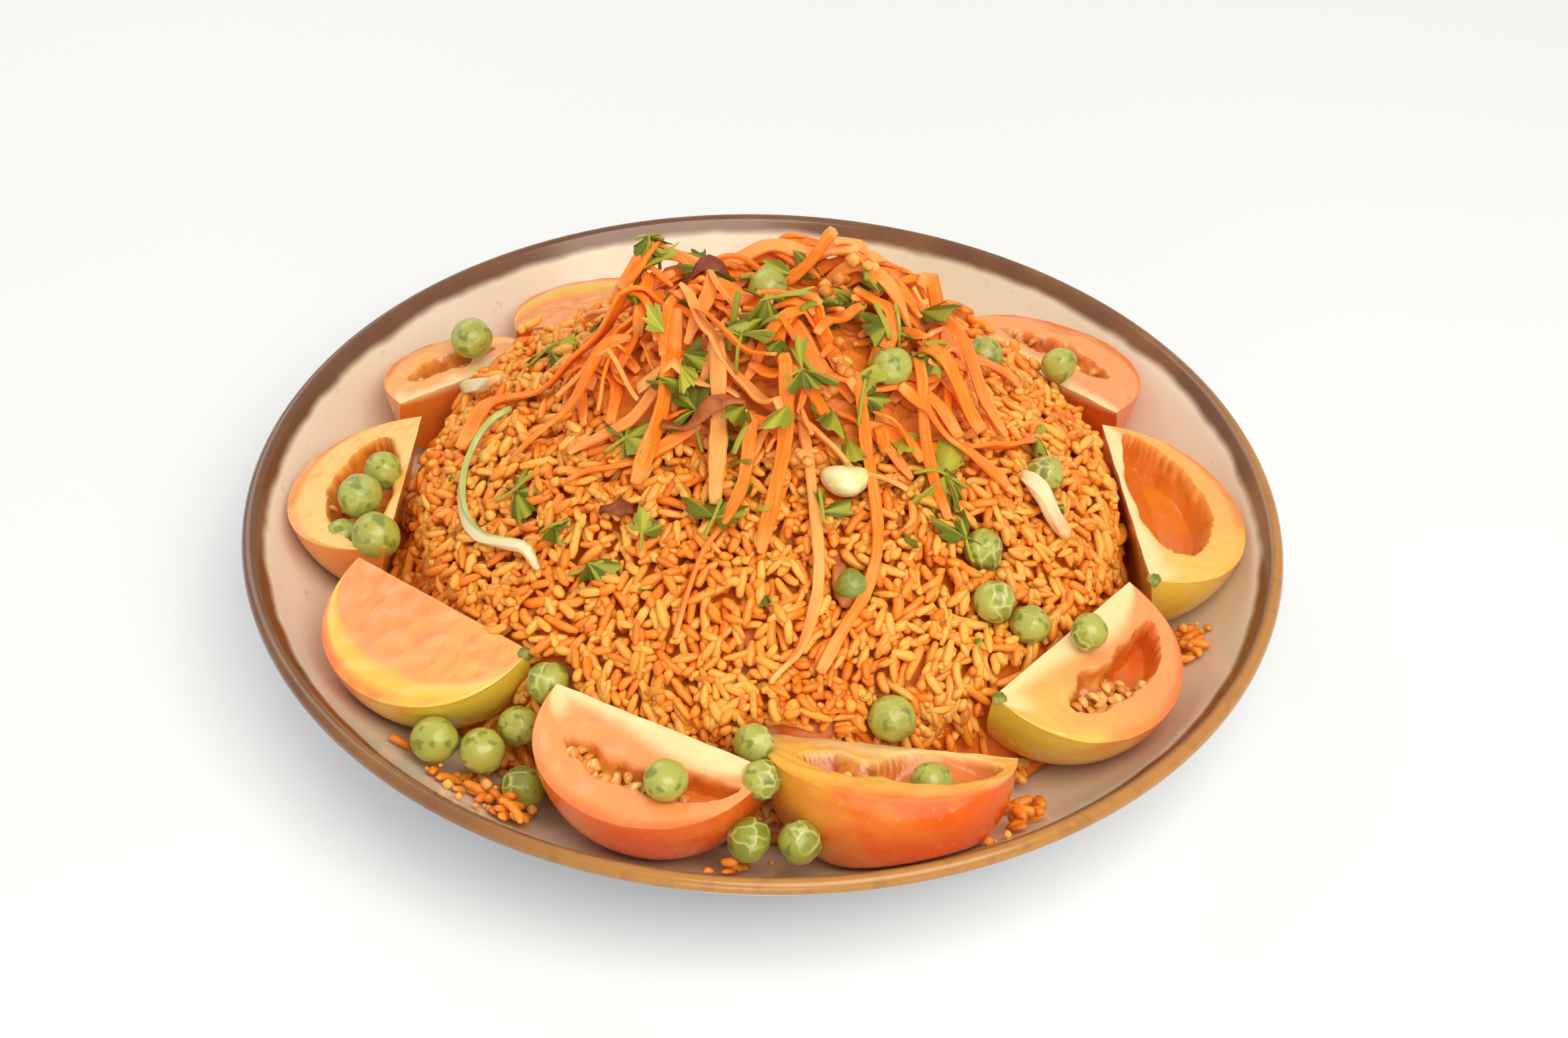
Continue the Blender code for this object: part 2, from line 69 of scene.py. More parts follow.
# Plate profile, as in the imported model
PLATE_RADIUS = 115
PLATE_HEIGHT = 34
FOOT_INNER = 52
FOOT_OUTER = 57
FOOT_HEIGHT = 3
OUTER_BEND = Vector((62, 63.9))
OUTER_BEND_RADIUS = 60.9
OUTER_BEND_END = 60.6
INNER_BEND = Vector((65, 61.5))
INNER_BEND_RADIUS = 54.1
INNER_BEND_END = 57
FLOOR_HEIGHT = INNER_BEND.y - INNER_BEND_RADIUS
CONTACT_GAP = 0.8                      # food to glaze
RIM_ROUNDING = 1.8

# Mound of rice and nest of carrot
MOUND_CENTRE = Vector((1, 4))
MOUND_SHOULDER = 76
MOUND_FOOT = 86
MOUND_SHOULDER_HEIGHT = 34
MOUND_RISE = 32
MOUND_DROP = 17.5
MOUND_FULLNESS = 1.8                   # power of the fall from the middle to the shoulder
MOUND_ROLL = 1.3
ROLL_LENGTH = 19
CLUMP_HEIGHT = 2.2
CLUMP_LENGTH = 8
BANK_HEIGHT = 3.6                      # rise of the rice where it is banked up against a wedge
BANK_SQUARES = 14                      # squares of the ground over which the bank runs out
CORE_DEPTH = 3.6                       # core of the heap below its mean surface
HEAP_TOP = 2.3                         # highest grain above the mean surface
NEST_CENTRE = Vector((2, 9))
NEST_REACH = Vector((44, 29))
NEST_BASE = 61
NEST_RISE = 21
NEST_THATCH = 2.2                      # depth of the shreds over the nest's core

# Tomato wedges: angle round the plate, distance and height of the core line, yaw, tilt of the
# cut face below level, half length, radius and angle between the two cuts
WEDGES = {
    "tomato_wedge_1": (-149, 78, 37, -24, 14, 24, 27, 76),
    "tomato_wedge_2": (-104, 77, 37, 13, 5, 25, 27, 80),
    "tomato_wedge_3": (-69, 78, 32, 26, -22, 26, 27, 66),
    "tomato_wedge_4": (-35, 78, 38, 4, 16, 24, 27, 84),
    "tomato_wedge_5": (1, 80, 38, -7, 14, 27, 28, 68),
    "tomato_wedge_6": (40, 79, 36, -12, 12, 25, 28, 66),
    "tomato_wedge_7": (77, 76, 34, -6, 14, 25, 27, 66),
    "tomato_wedge_8": (119, 78, 33, 15, 14, 24, 27, 66),
    "tomato_wedge_9": (150, 80, 36, 23, 14, 19, 23, 66),
    "tomato_wedge_10": (-180, 80, 37, 3, 14, 23, 27, 66),
}
WEDGE_TAPER = 0.85
WEDGE_STEPS = 72                       # steps of a wedge from tip to tip
FACE_STEPS = 46                        # steps across its cut face
SKIN_STEPS = 26
BACK_STEPS = 6

# Cut faces: cream of the core, gold of the flesh, ripeness of both ends, left first, and fleshiness
FACES = {
    "tomato_wedge_1": (0.0, 0.0, 1.0, 0.0, 1.0),
    "tomato_wedge_2": (1.0, 0.0, 0.9, 1.0, 0.0),
    "tomato_wedge_3": (0.6, 0.9, 0.5, 1.0, 0.0),
    "tomato_wedge_4": (1.0, 0.0, 0.0, 1.0, 0.0),
    "tomato_wedge_5": (0.9, 0.55, 0.15, 0.9, 0.0),
    "tomato_wedge_6": (1.0, 0.0, 0.95, 0.95, 0.0),
    "tomato_wedge_7": (0.7, 0.9, 0.2, 0.8, 0.0),
    "tomato_wedge_8": (0.0, 0.25, 0.8, 1.0, 1.0),
    "tomato_wedge_9": (0.9, 0.4, 0.95, 0.8, 0.0),
    "tomato_wedge_10": (0.2, 0.8, 0.8, 0.7, 0.0),
}

# Hollows in the cut faces: start and end along the wedge, start and end from core to skin,
# depth, and number of seeds
HOLLOWS = {
    "tomato_wedge_2": ((-0.62, 0.30, 0.40, 0.66, 4.0, 26), (0.10, 0.88, 0.30, 0.68, 4.6, 2)),
    "tomato_wedge_3": ((-0.70, -0.02, 0.26, 0.66, 4.5, 16), (-0.06, 0.88, 0.02, 0.72, 9.0, 3)),
    "tomato_wedge_4": ((-0.52, 0.34, 0.32, 0.70, 4.0, 20), (-0.02, 0.80, 0.36, 0.74, 7.5, 0)),
    "tomato_wedge_5": ((-0.60, 0.92, 0.04, 0.74, 8.0, 0),),
    "tomato_wedge_6": ((-0.55, 0.62, 0.34, 0.68, 4.8, 16),),
    "tomato_wedge_7": ((-0.60, 0.60, 0.34, 0.68, 4.0, 16),),
    "tomato_wedge_9": ((-0.60, 0.60, 0.30, 0.66, 4.5, 10),),
    "tomato_wedge_10": ((-0.72, 0.88, 0.06, 0.66, 8.0, 4),),
}
FEWEST_SEEDS = 5                       # a hollow with fewer seeds is smooth and without gel

# Wedges with a stem scar, and at which tip
STEM_SCARS = {"tomato_wedge_1": 1, "tomato_wedge_4": -1, "tomato_wedge_5": -1}

# Peas: place of the centre and diameter
PEAS = (
    (-89, -6, 37, 10.4), (-84, -18, 36, 10.4), (-85, 3, 37, 8.7), (-92, -13, 31, 8.6),
    (-70, 49, 40, 9.8), (-43, -60, 34, 9.6), (-49, -65, 26, 8.8), (-66, -69, 25, 9.8),
    (-56, -71, 24, 9.8), (-47, -77, 20, 9.4), (-17, -92, 39, 8.8), (0, -78, 36, 9.0),
    (2, -88, 36, 8.4), (0, -96, 27, 9.2), (10, -97, 28, 9.2), (28, -68, 35, 9.8),
    (36, -86, 35, 8.8), (69, -46, 41, 8.2), (57, -43, 40, 9.2), (49, -42, 45, 8.9),
    (47, -29, 48, 9.3), (19, -45, 50, 8.2), (26, -3, 76, 9.3), (-1, 15, 82, 9.2),
    (67, 46, 41, 8.4), (49, 41, 47, 8.8), (61, -2, 47, 8.4),
)

# Peas by number, from 0: with a net of veins all over, darker than the rest (13 and 14, which lie in shadow
# at the front, with painted shade), and with a brown skin
NETTED_PEAS = (9, 11, 12, 13, 17, 19, 26)
DARK_AND_SHADED_PEAS = (9, 13, 14, 21)
BROWN_PEA = 21

# Bean: place of the centre, and its length, width and height
BEAN = (17, -25, 62)
BEAN_SIZE = (11, 7, 6.5)

# Grains that slid onto the plate: place, spread and number
PILES = (
    (-62, -78, 9, 12), (-49, -86, 7, 12), (-74, -70, 4, 4), (52, -80, 7, 16), (40, -99, 4, 4),
    (92, -24, 6, 10), (70, -66, 6, 7), (-8, -99, 5, 5), (88, -48, 3, 3),
)

# Shreds of the nest: places of the bends, and height above what is below. A white shred also has
# its width and thickness
SHREDS = (
    ((18, -6, 0), (21, -17, 1), (24, -35, 0), (22, -47, 0), (13, -63, 0)),
    ((7, -12, 0), (10, -30, 1), (12, -48, 0), (9, -59, 0), (3, -67, 0)),
    ((3, -8, 1), (4, -22, 2), (0, -42, 0)),
    ((-11, -4, 0), (-10, -19, 2), (-10, -33, 0)),
    ((-20, 3, 0), (-22, -12, 2), (-27, -25, 0)),
    ((-42, -12, 1), (-28, -10, 1), (-16, -4, 0)),
    ((-42, -20, 0), (-28, -20, 0), (-14, -14, 0)),
    ((-19, 8, 1), (-13, -4, 2), (-3, -12, 1), (5, -20, 1)),
    ((-20, 6, 0), (-14, 12, 3), (-6, 10, 2), (0, 2, 0)),
    ((-20, 10, 0), (-36, 11, 1), (-50, 13, 0), (-62, 16, 0), (-68, 6, 0)),
    ((31, 6, 0), (33, -9, 3), (35, -18, 1), (39, -27, 0)),
    ((12, -8, 0), (22, -8, 3), (34, -5, 4), (41, -10, 2)),
    ((20, -13, 0), (36, -12, 0), (50, -3, 0), (60, 8, 0)),
    ((28, -8, 0), (42, -12, 1), (52, -13, 0)),
    ((6, -14, 0), (18, -22, 1), (30, -24, 0)),
    ((9, 4, 0), (2, -4, 3), (5, -10, 3), (13, -10, 0)),
    ((2, 8, 0), (-9, 0, 3), (-14, -9, 1)),
    ((22, 24, 0), (10, 33, 1), (-4, 36, 0)),
    ((4, 20, 0), (7, 10, 3), (11, 0, 2), (18, -7, 0)),
    ((18, 14, 0), (26, 8, 3), (22, -1, 0)),
    ((34, 18, 0), (43, 10, 3), (52, 2, 0)),
    ((-3, -14, 0), (-5, -32, 2), (-13, -45, 0), (-17, -58, 0)),
    ((-4, -8, 1), (6, -12, 3), (16, -14, 0)),
    ((-30, 20, 0), (-16, 26, 1), (2, 28, 1), (18, 24, 0)),
    ((32, 20, 0), (44, 27, 0), (56, 27, 0)),
    ((-30, 4, 0), (-45, -2, 1), (-55, -7, 0)),
    ((-34, 14, 0), (-24, 20, 3), (-12, 18, 2), (-4, 22, 0)),
    ((10, 22, 0), (20, 20, 3), (30, 12, 0)),
)
WHITE_SHREDS = {
    "white_shred_left": (
        ((-57, 9, 1), (-64, 3, 0), (-66, -9, 0), (-62, -24, 0), (-47, -38, 0)), 2.8, 1.5),
    "white_shred_right": (((56, -7, 0.4), (60, -13, 0.4), (65, -22, 0.4)), 4.0, 2.2),
    "white_shred_back": (((-70, 31, 0), (-61, 22, 0)), 3.2, 1.8),
}

# Coriander on the rice: place, size and heading in degrees; then numbers of the other leaves
LEAVES = (
    (-27, 21, 9, 40), (-1, 2, 11, 10), (-15, -14, 10, 110), (7, -13, 9, 20), (14, 12, 9, 60),
    (27, 8, 8, 100), (20, -12, 8, 80), (38, -19, 13, 10), (-6, -6, 9, 80), (-30, -14, 9, 30),
    (-10, -37, 9, 70), (12, -34, 8, 100), (-36, -42, 8, 0), (-53, -18, 9, 10), (-44, -30, 6, 0),
    (43, -30, 9, 110), (-50, 30, 10, 10), (-25, -37, 7, 90),
)
NEST_LEAVES = 46
NEST_STEMS = 12
LEAF_BITS = 26
SHALLOTS = (
    ((-20, 15, 0), (-14, 18, 1), (-8, 15, 0)),
    ((-22, -16, 0), (-13, -16, 1), (-5, -15, 1)),
    ((-34, -30, 0), (-27, -31, 0)),
    ((16, -42, 0), (18, -50, 0)),
)

# Golden crumbs: place, spread, number of crumbs, and their smallest and largest size
CRUMBS = (
    (11, 17, 5, 9, 2.2, 4.2), (16, -5, 4, 9, 2.2, 4.2), (8, -23, 4, 9, 2.2, 4.2),
    (-58, -72, 12, 22, 1.0, 2.8), (-50, -80, 10, 22, 1.0, 2.8), (-2, -90, 8, 22, 1.0, 2.8),
    (88, -26, 10, 22, 1.0, 2.8), (47, -88, 6, 22, 1.0, 2.8), (20, 20, 5, 9, 2.2, 4.2),
)

# Camera: lens in millimetres, place in metres, and the ways right, up and back of its view
LENS = 68.4
SENSOR_WIDTH = 36
CAMERA_PLACE = (0.0044, -0.508, 0.4584)
CAMERA_WAYS = ((0.9993, 0.0244, 0.0290), (-0.0379, 0.6443, 0.7639), (0.0, -0.7644, 0.6447))

# Lamps: place and size in metres, setting of its strength, and tint
LAMPS = {
    "key": ((0.30, -0.50, 0.95), 0.8, "key", (1.0, 0.90, 0.76)),
    "front": ((0.0, -1.25, 0.22), 0.5, "fill", (1.0, 0.95, 0.88)),
    "fill": ((-0.55, 0.75, 0.75), 0.7, "fill", (1.0, 0.93, 0.83)),
}
SKY_TINT = (1.0, 0.96, 0.90, 1)
SKY_STRENGTH = 0.66
LIT_POINT = Vector((0, 0, 0.04))


def linear(code):
    """A colour from its six-digit screen code, as light."""
    parts = [int(code[i:i + 2], 16) / 255 for i in (0, 2, 4)]
    return tuple(p / 12.92 if p < 0.04 else ((p + 0.055) / 1.055) ** 2.4 for p in parts)


def colour_setting(name, description, code):
    """A colour that the user can change in the sidebar."""
    return FloatVectorProperty(name=name, description=description, subtype="COLOR", size=3,
                               min=0, max=1, default=linear(code))


def length_setting(name, description, default, low, high):
    """A length that the user can change in the sidebar."""
    return FloatProperty(name=name, description=description, default=default, min=low, max=high,
                         subtype="DISTANCE", unit="LENGTH")


def number_setting(name, description, default, low, high):
    """A number of pieces or steps that the user can change in the sidebar."""
    return IntProperty(name=name, description=description, default=default, min=low, max=high)


def power_setting(name, description, default):
    """A lamp's strength that the user can change in the sidebar."""
    return FloatProperty(name=name, description=description, default=default, min=0, max=200,
                         subtype="POWER", unit="POWER")


class PlateSettings(PropertyGroup):
    """Size of the turning and colours of the glazed plate."""

    turns: number_setting("Turning steps", "Flats round the turned plate", 160, 32, 512)
    glaze: colour_setting("Glaze", "Inside of the plate", "EADFCC")
    wall: colour_setting("Outer wall", "Outside of the plate", "F6F2EE")
    band: colour_setting("Rim band", "Glaze band at the rim", "6A4226")
    # Also the colour of the painted highlight on the rim band's outer edge at the front and right
    band_gold_and_highlight: colour_setting("Rim band, worn", "Where the band is thin and golden", "B27A34")


class RiceSettings(PropertyGroup):
    """Size, number and colours of the rice grains."""

    length: length_setting("Grain length", "Mean length of a whole grain", 0.0078, 0.002, 0.02)
    width: length_setting("Grain width", "Mean width of a grain", 0.0024, 0.0005, 0.005)
    count: number_setting("Grains", "Most grains that are dropped on the heap", 3150, 100, 3300)
    bits: number_setting("Broken grains", "Broken grains and lumps in the gaps", 2600, 0, 3600)
    leaning: number_setting("Leaning grains", "Grains on the steep foot of the heap", 900, 0, 1000)
    light: colour_setting("Grain, light", "Palest grains", "FFB650")
    middle: colour_setting("Grain, middle", "Most of the grains", "FA8E22")
    # The heap's core takes mostly this deep colour, as painted shade in the gaps between grains
    deep: colour_setting("Grain, deep", "Darkest grains and the heap between them", "D0620C")


class NestSettings(PropertyGroup):
    """Size and colours of the carrot shreds."""

    width: length_setting("Shred width", "Mean width of a shred", 0.0031, 0.0005, 0.01)
    thickness: length_setting("Shred thickness", "Mean thickness of a shred", 0.0010, 0.0003, 0.005)
    loose: number_setting("Fine shreds", "Shreds between the long ones", 135, 0, 400)
    under: number_setting("Shreds round the nest", "Shreds wound round the sides of the nest", 70, 0, 300)
    carrot: colour_setting("Carrot", "Most of a shred", "FF9026")
    carrot_end: colour_setting("Carrot, pale", "Fibrous ends and edges", "FFBC70")
    white: colour_setting("White shred", "Pale vegetable", "E8DDB0")
    white_green: colour_setting("White shred, green", "Green edge of the pale vegetable", "A9B964")


class TomatoSettings(PropertyGroup):
    """Colours of the tomato wedges."""

    skin_ripe: colour_setting("Ripe skin", "Red side of the skin", "EE6418")
    skin_unripe: colour_setting("Unripe skin", "Yellow-green side of the skin", "E4CA48")
    flesh: colour_setting("Flesh", "Cut flesh of a ripe wedge", "F49A5A")
    flesh_gold: colour_setting("Golden flesh", "Cut flesh of a yellow wedge", "F4C656")
    core: colour_setting("Core", "Cream core of a wedge", "F8DCA2")
    gel: colour_setting("Seed gel", "Hollow with seeds", "E08A2E")
    seed: colour_setting("Seed", "Tomato seeds", "EEC470")


class ToppingSettings(PropertyGroup):
    """Colours of the peas, herbs and crumbs."""

    pea: colour_setting("Pea", "Skin of a pea", "B4B554")
    pea_dark: colour_setting("Pea, dark", "Sunken patches of a pea", "66761C")
    pea_vein: colour_setting("Pea, pale", "Pale net on a pea", "D0D694")
    leaf: colour_setting("Coriander", "Upper side of a leaf", "767C14")
    leaf_light: colour_setting("Coriander, light", "Veins, stems and young leaves", "B0B03A")
    shallot: colour_setting("Fried shallot", "Brown of the shallot", "7C300C")
    crumb: colour_setting("Crumbs", "Palest side of the golden crumbs", "F4B860")


class StageSettings(PropertyGroup):
    """Floor and light."""

    floor: colour_setting("Floor", "Plain pale floor", "E6ECF4")
    key: power_setting("Key light", "Strength of the large soft light", 9.0)
    fill: power_setting("Fill light", "Strength of the lights from behind and from the front", 2.5)


def smoothstep(values):
    """Ease from 0 to 1."""
    eased = np.clip(values, 0, 1)
    return eased * eased * (3 - 2 * eased)


def polar(degrees, radius, height=0.0):
    """The point at a distance and an angle round the plate."""
    angle = math.radians(degrees)
    return Vector((radius * math.cos(angle), radius * math.sin(angle), height))


def place_round(centre, across, deep, angle):
    """The place on an oval round a middle."""
    return centre.x + across * math.cos(angle), centre.y + deep * math.sin(angle)


def plate_surface(radius):
    """Height of the plate's inner surface at a distance from the middle."""
    across = np.clip(radius - INNER_BEND.x, 0, INNER_BEND_RADIUS)
    return INNER_BEND.y - np.sqrt(INNER_BEND_RADIUS ** 2 - across ** 2)


def settle(points):
    """Press points that would sink into the glaze back to just above it."""
    radius = np.maximum(np.hypot(points[:, 0], points[:, 1]), 1e-6)
    inside = radius <= INNER_BEND.x
    held = points.copy()
    held[inside, 2] = np.maximum(points[inside, 2], FLOOR_HEIGHT + CONTACT_GAP)
    bend = np.column_stack((points[:, :2] * (INNER_BEND.x / radius)[:, None],
                            np.full(len(points), INNER_BEND.y)))
    arm = points - bend
    share = np.minimum(1, (INNER_BEND_RADIUS - CONTACT_GAP) / np.linalg.norm(arm, axis=1))
    wall = bend + arm * share[:, None]
    held[~inside] = wall[~inside]
    return held


def mound_height(x, y):
    """Mean top of the mound of rice."""
    radius = math.hypot(x - MOUND_CENTRE.x, y - MOUND_CENTRE.y)
    if radius > MOUND_SHOULDER:
        out = min((radius - MOUND_SHOULDER) / (MOUND_FOOT - MOUND_SHOULDER), 1)
        return MOUND_SHOULDER_HEIGHT - MOUND_DROP * (1 - (1 - out) ** 2)
    fall = (radius / MOUND_SHOULDER) ** MOUND_FULLNESS
    roll = noise.noise(Vector((x / ROLL_LENGTH, y / ROLL_LENGTH, 3))) * MOUND_ROLL
    return MOUND_SHOULDER_HEIGHT + MOUND_RISE * (1 - fall) + roll * (1 - fall)


def clumps(x, y):
    """Rise and fall of the heap where grains stick together."""
    return noise.noise(Vector((x / CLUMP_LENGTH, y / CLUMP_LENGTH, 11))) * CLUMP_HEIGHT


def nest_height(x, y):
    """Top of the carrot nest's mass, between its separate shreds."""
    across = ((x - NEST_CENTRE.x) / NEST_REACH.x) ** 2 + ((y - NEST_CENTRE.y) / NEST_REACH.y) ** 2
    return NEST_BASE + NEST_RISE * (1 - across)


def smooth_path(bends, step):
    """Points about one step apart on a smooth curve through the bends."""
    bends = [Vector(bend) for bend in bends]
    ends = [2 * bends[0] - bends[1]] + bends + [2 * bends[-1] - bends[-2]]
    points = []
    for before, start, end, after in zip(ends, ends[1:], ends[2:], ends[3:]):
        count = max(1, round((end - start).length / step))
        for i in range(count):
            t = i / count
            pull = (end - before) * t + (2 * before - 5 * start + 4 * end - after) * t ** 2
            points.append(start + 0.5 * (pull + (3 * start - 3 * end + after - before) * t ** 3))
    points.append(bends[-1])
    return np.array(points)


class Ground:
    """Height of all that lies on the plate so far, on a grid of half-millimetre squares."""

    SIZE = 440                         # squares along each side
    CELL = 0.5
    BLOCKED = 500.0                    # height of a square where nothing can lie

    def __init__(self):
        """Start from the core of the heap and the plate round it."""
        side = (np.arange(self.SIZE) - self.SIZE / 2 + 0.5) * self.CELL
        self.mound = np.array([[mound_height(x, y) + clumps(x, y) for y in side] for x in side])
        radius = np.hypot(side[:, None], side[None, :])
        from_heap = np.hypot(side[:, None] - MOUND_CENTRE.x, side[None, :] - MOUND_CENTRE.y)
        bowl = plate_surface(radius)
        self.mound = np.where(from_heap < MOUND_FOOT, np.maximum(self.mound, bowl), bowl)
        self.top = np.where(from_heap < MOUND_FOOT, np.maximum(self.mound - CORE_DEPTH, bowl), bowl)
        self.side = side
        self.wedges = []

    def cells(self, x, y):
        """Row and column of places in millimetres."""
        column = np.clip((np.asarray(x) / self.CELL + self.SIZE / 2).astype(int), 0, self.SIZE - 1)
        row = np.clip((np.asarray(y) / self.CELL + self.SIZE / 2).astype(int), 0, self.SIZE - 1)
        return column, row

    def at(self, x, y):
        """Height of what lies at the places."""
        return self.top[self.cells(x, y)]

    def near(self, x, y, reach):
        """Highest of what lies close to the places."""
        spots = ((0, 0), (reach, 0), (-reach, 0), (0, reach), (0, -reach))
        return np.max([self.at(x + dx, y + dy) for dx, dy in spots], axis=0)

    def blocked(self, height):
        """Whether a height is that of a square under a wedge."""
        return height > self.BLOCKED / 2

    def lift(self, x, y, z):
        """Raise the ground to a new top at the places."""
        np.maximum.at(self.top, self.cells(x, y), z)

    def lift_under(self, x, y, way, line, shift, z):
        """Raise the ground along a line through a place, and at shifts to its sides."""
        self.lift(x + way[0] * line - way[1] * shift, y + way[1] * line + way[0] * shift, z)

    def cover(self, names):
        """Block the squares that CAD nodes cover, seen from above."""
        for name in names:
            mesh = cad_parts[name].data
            points = [vert.co / MILLIMETRE for vert in mesh.vertices]
            tree = BVHTree.FromPolygons(points, [list(face.vertices) for face in mesh.polygons])
            self.wedges.append(tree)
            low, high = (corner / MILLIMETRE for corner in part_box(name))
            first = self.cells(low.x, low.y)
            last = self.cells(high.x, high.y)
            for column in range(first[0], last[0] + 1):
                for row in range(first[1], last[1] + 1):
                    start = Vector((self.side[column], self.side[row], high.z + 1))
                    if tree.ray_cast(start, -UP)[0]:
                        self.top[column, row] = self.BLOCKED
        on_heap = np.hypot(self.side[:, None] - MOUND_CENTRE.x,
                           self.side[None, :] - MOUND_CENTRE.y) < MOUND_SHOULDER + 4
        reached = self.top >= self.BLOCKED
        for step in range(BANK_SQUARES):
            spread = reached.copy()
            for shift, axis in ((1, 0), (-1, 0), (1, 1), (-1, 1)):
                spread |= np.roll(reached, shift, axis)
            self.mound[spread & ~reached & on_heap] += BANK_HEIGHT * (1 - step / BANK_SQUARES) ** 1.5
            reached = spread

    def clear_of_wedges(self, points, gap):
        """Whether points stay outside the wedges by a gap."""
        for tree in self.wedges:
            for point in points:
                nearest, _, _, far = tree.find_nearest(Vector(point))
                if far < gap or tree.ray_cast(Vector(point), Vector(point) - nearest)[0]:
                    return False
        return True


class Forms:
    """Gathers many small closed forms into one mesh."""

    def __init__(self):
        """Start with nothing gathered."""
        self.points = []
        self.faces = []
        self.along = []
        self.tones = []
        self.count = 0

    def add(self, points, faces, along, tone):
        """Add one form: its points, faces, coordinates on its surface and its own shade."""
        self.points.append(points)
        self.faces.extend([[corner + self.count for corner in face] for face in faces])
        self.along.append(along)
        self.tones.append(np.full(len(points), tone))
        self.count += len(points)

    def piece(self, name, finish, slot, nodes=(), crisp=None):
        """Make the piece, with edges sharper than an angle in degrees kept crisp."""
        made = new_piece(name, np.concatenate(self.points), self.faces, finish, nodes,
                         np.concatenate(self.along), {"tone": np.concatenate(self.tones)})
        if crisp:
            made.data.set_sharp_from_angle(angle=math.radians(crisp))
        return made


def carry(obj, nodes):
    """Let a finished piece ride on the plate and stand for its CAD nodes."""
    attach(obj, "root")
    if nodes:
        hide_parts(*nodes)
    return obj


def add_value(mesh, label, data):
    """Give each point of a mesh a number that its material reads."""
    layer = mesh.attributes.new(label, "FLOAT", "POINT")
    layer.data.foreach_set("value", np.asarray(data, dtype=np.float32))


def select_alone(obj):
    """Select one object and make it active."""
    bpy.ops.object.select_all(action="DESELECT")
    bpy.context.view_layer.objects.active = obj
    obj.select_set(True)


def new_piece(name, points, faces, finish, nodes=(), along=None, values=None):
    """A smooth piece from points in millimetres, its surface coordinates and its attributes."""
    mesh = bpy.data.meshes.new(name)
    mesh.from_pydata((np.asarray(points) * MILLIMETRE).tolist(), [], faces)
    for label, data in (values or {}).items():
        add_value(mesh, label, data)
    if along is not None:
        corners = np.empty(len(mesh.loops), dtype=np.int32)
        mesh.loops.foreach_get("vertex_index", corners)
        layer = mesh.uv_layers.new(name="along")
        layer.data.foreach_set("uv", np.asarray(along, dtype=np.float32)[corners].ravel())
    mesh.materials.append(finish)
    mesh.shade_smooth()
    obj = bpy.data.objects.new(name, mesh)
    bpy.context.scene.collection.objects.link(obj)
    return carry(obj, nodes)


def unit_rows(rows):
    """Rows of numbers as ways of length 1."""
    return rows / np.maximum(np.linalg.norm(rows, axis=1), 1e-9)[:, None]


def tube_faces(rings, sides):
    """Faces of a closed tube: rings of points one after the other, then its start and its end."""
    after = [(j + 1) % sides for j in range(sides)]
    faces = []
    for low in range(0, (rings - 1) * sides, sides):
        high = low + sides
        faces += [(low + j, low + after[j], high + after[j], high + j) for j in range(sides)]
    start, last = rings * sides, (rings - 1) * sides
    for j in range(sides):
        faces.append((start, after[j], j))
        faces.append((start + 1, last + j, last + after[j]))
    return faces


def strand(path, widths, thicknesses, leans, sides=8, squareness=1.0):
    """Points, faces and surface coordinates of a closed strand along a path."""
    tangent = unit_rows(np.gradient(path, axis=0))
    side = np.cross(tangent, (0, 0, 1))
    side[np.linalg.norm(side, axis=1) < 1e-3] = (1, 0, 0)
    side = unit_rows(side)
    rise = np.cross(side, tangent)
    across = side * np.cos(leans)[:, None] + rise * np.sin(leans)[:, None]
    above = rise * np.cos(leans)[:, None] - side * np.sin(leans)[:, None]
    turn = np.arange(sides) * TAU / sides
    level = np.sign(np.cos(turn)) * np.abs(np.cos(turn)) ** squareness
    height = np.sign(np.sin(turn)) * np.abs(np.sin(turn)) ** squareness
    rings = (path[:, None, :]
             + across[:, None, :] * (level * 0.5)[None, :, None] * widths[:, None, None]
             + above[:, None, :] * (height * 0.5)[None, :, None] * thicknesses[:, None, None])
    start = path[0] - tangent[0] * thicknesses[0] * 0.4
    end = path[-1] + tangent[-1] * thicknesses[-1] * 0.4
    points = np.concatenate((rings.reshape(-1, 3), [start, end]))
    count = len(path)
    share = np.repeat(np.linspace(0, 1, count), sides)
    along = np.column_stack((share, np.tile(level * 0.5 + 0.5, count)))
    along = np.concatenate((along, [(0, 0.5), (1, 0.5)]))
    return points, tube_faces(count, sides), along


def lay(path, ground, thickness, width, stiff=0.0):
    """Rest a path, given by place and lift, on the ground and raise the ground to its top."""
    need = ground.near(path[:, 0], path[:, 1], width * 0.3)
    need = np.where(ground.blocked(need), np.min(need), need)
    eased = np.max([need, np.roll(need, 1), np.roll(need, -1)], axis=0)
    eased[0], eased[-1] = need[0], need[-1]
    for _ in range(4):
        eased[1:-1] = eased[:-2] * 0.3 + eased[1:-1] * 0.4 + eased[2:] * 0.3
    path = path.copy()
    t = np.linspace(-1, 1, len(path))
    slope = float(np.clip((need[-3:].mean() - need[:3].mean()) / 2, -9, 9))
    straight = slope * t + float((need - slope * t).max())
    rest = np.maximum(eased, need - 0.5)
    path[:, 2] += rest + (straight - rest) * stiff + thickness / 2
    tangent = unit_rows(np.gradient(path[:, :2], axis=0))
    for shift in np.linspace(-0.4, 0.4, 5) * width:
        ground.lift(path[:, 0] - tangent[:, 1] * shift, path[:, 1] + tangent[:, 0] * shift,
                    path[:, 2] + thickness * 0.4)
    return path


def feed(tree, socket, value):
    """Link a value to a socket, or set it there."""
    if isinstance(value, bpy.types.NodeSocket):
        tree.links.new(value, socket)
    else:
        socket.default_value = value


def node(tree, kind, inputs=None, **settings):
    """A shader node with its settings, values and incoming links."""
    made = tree.nodes.new(kind)
    for key, value in settings.items():
        setattr(made, key, value)
    for key, value in (inputs or {}).items():
        feed(tree, made.inputs[key], value)
    return made


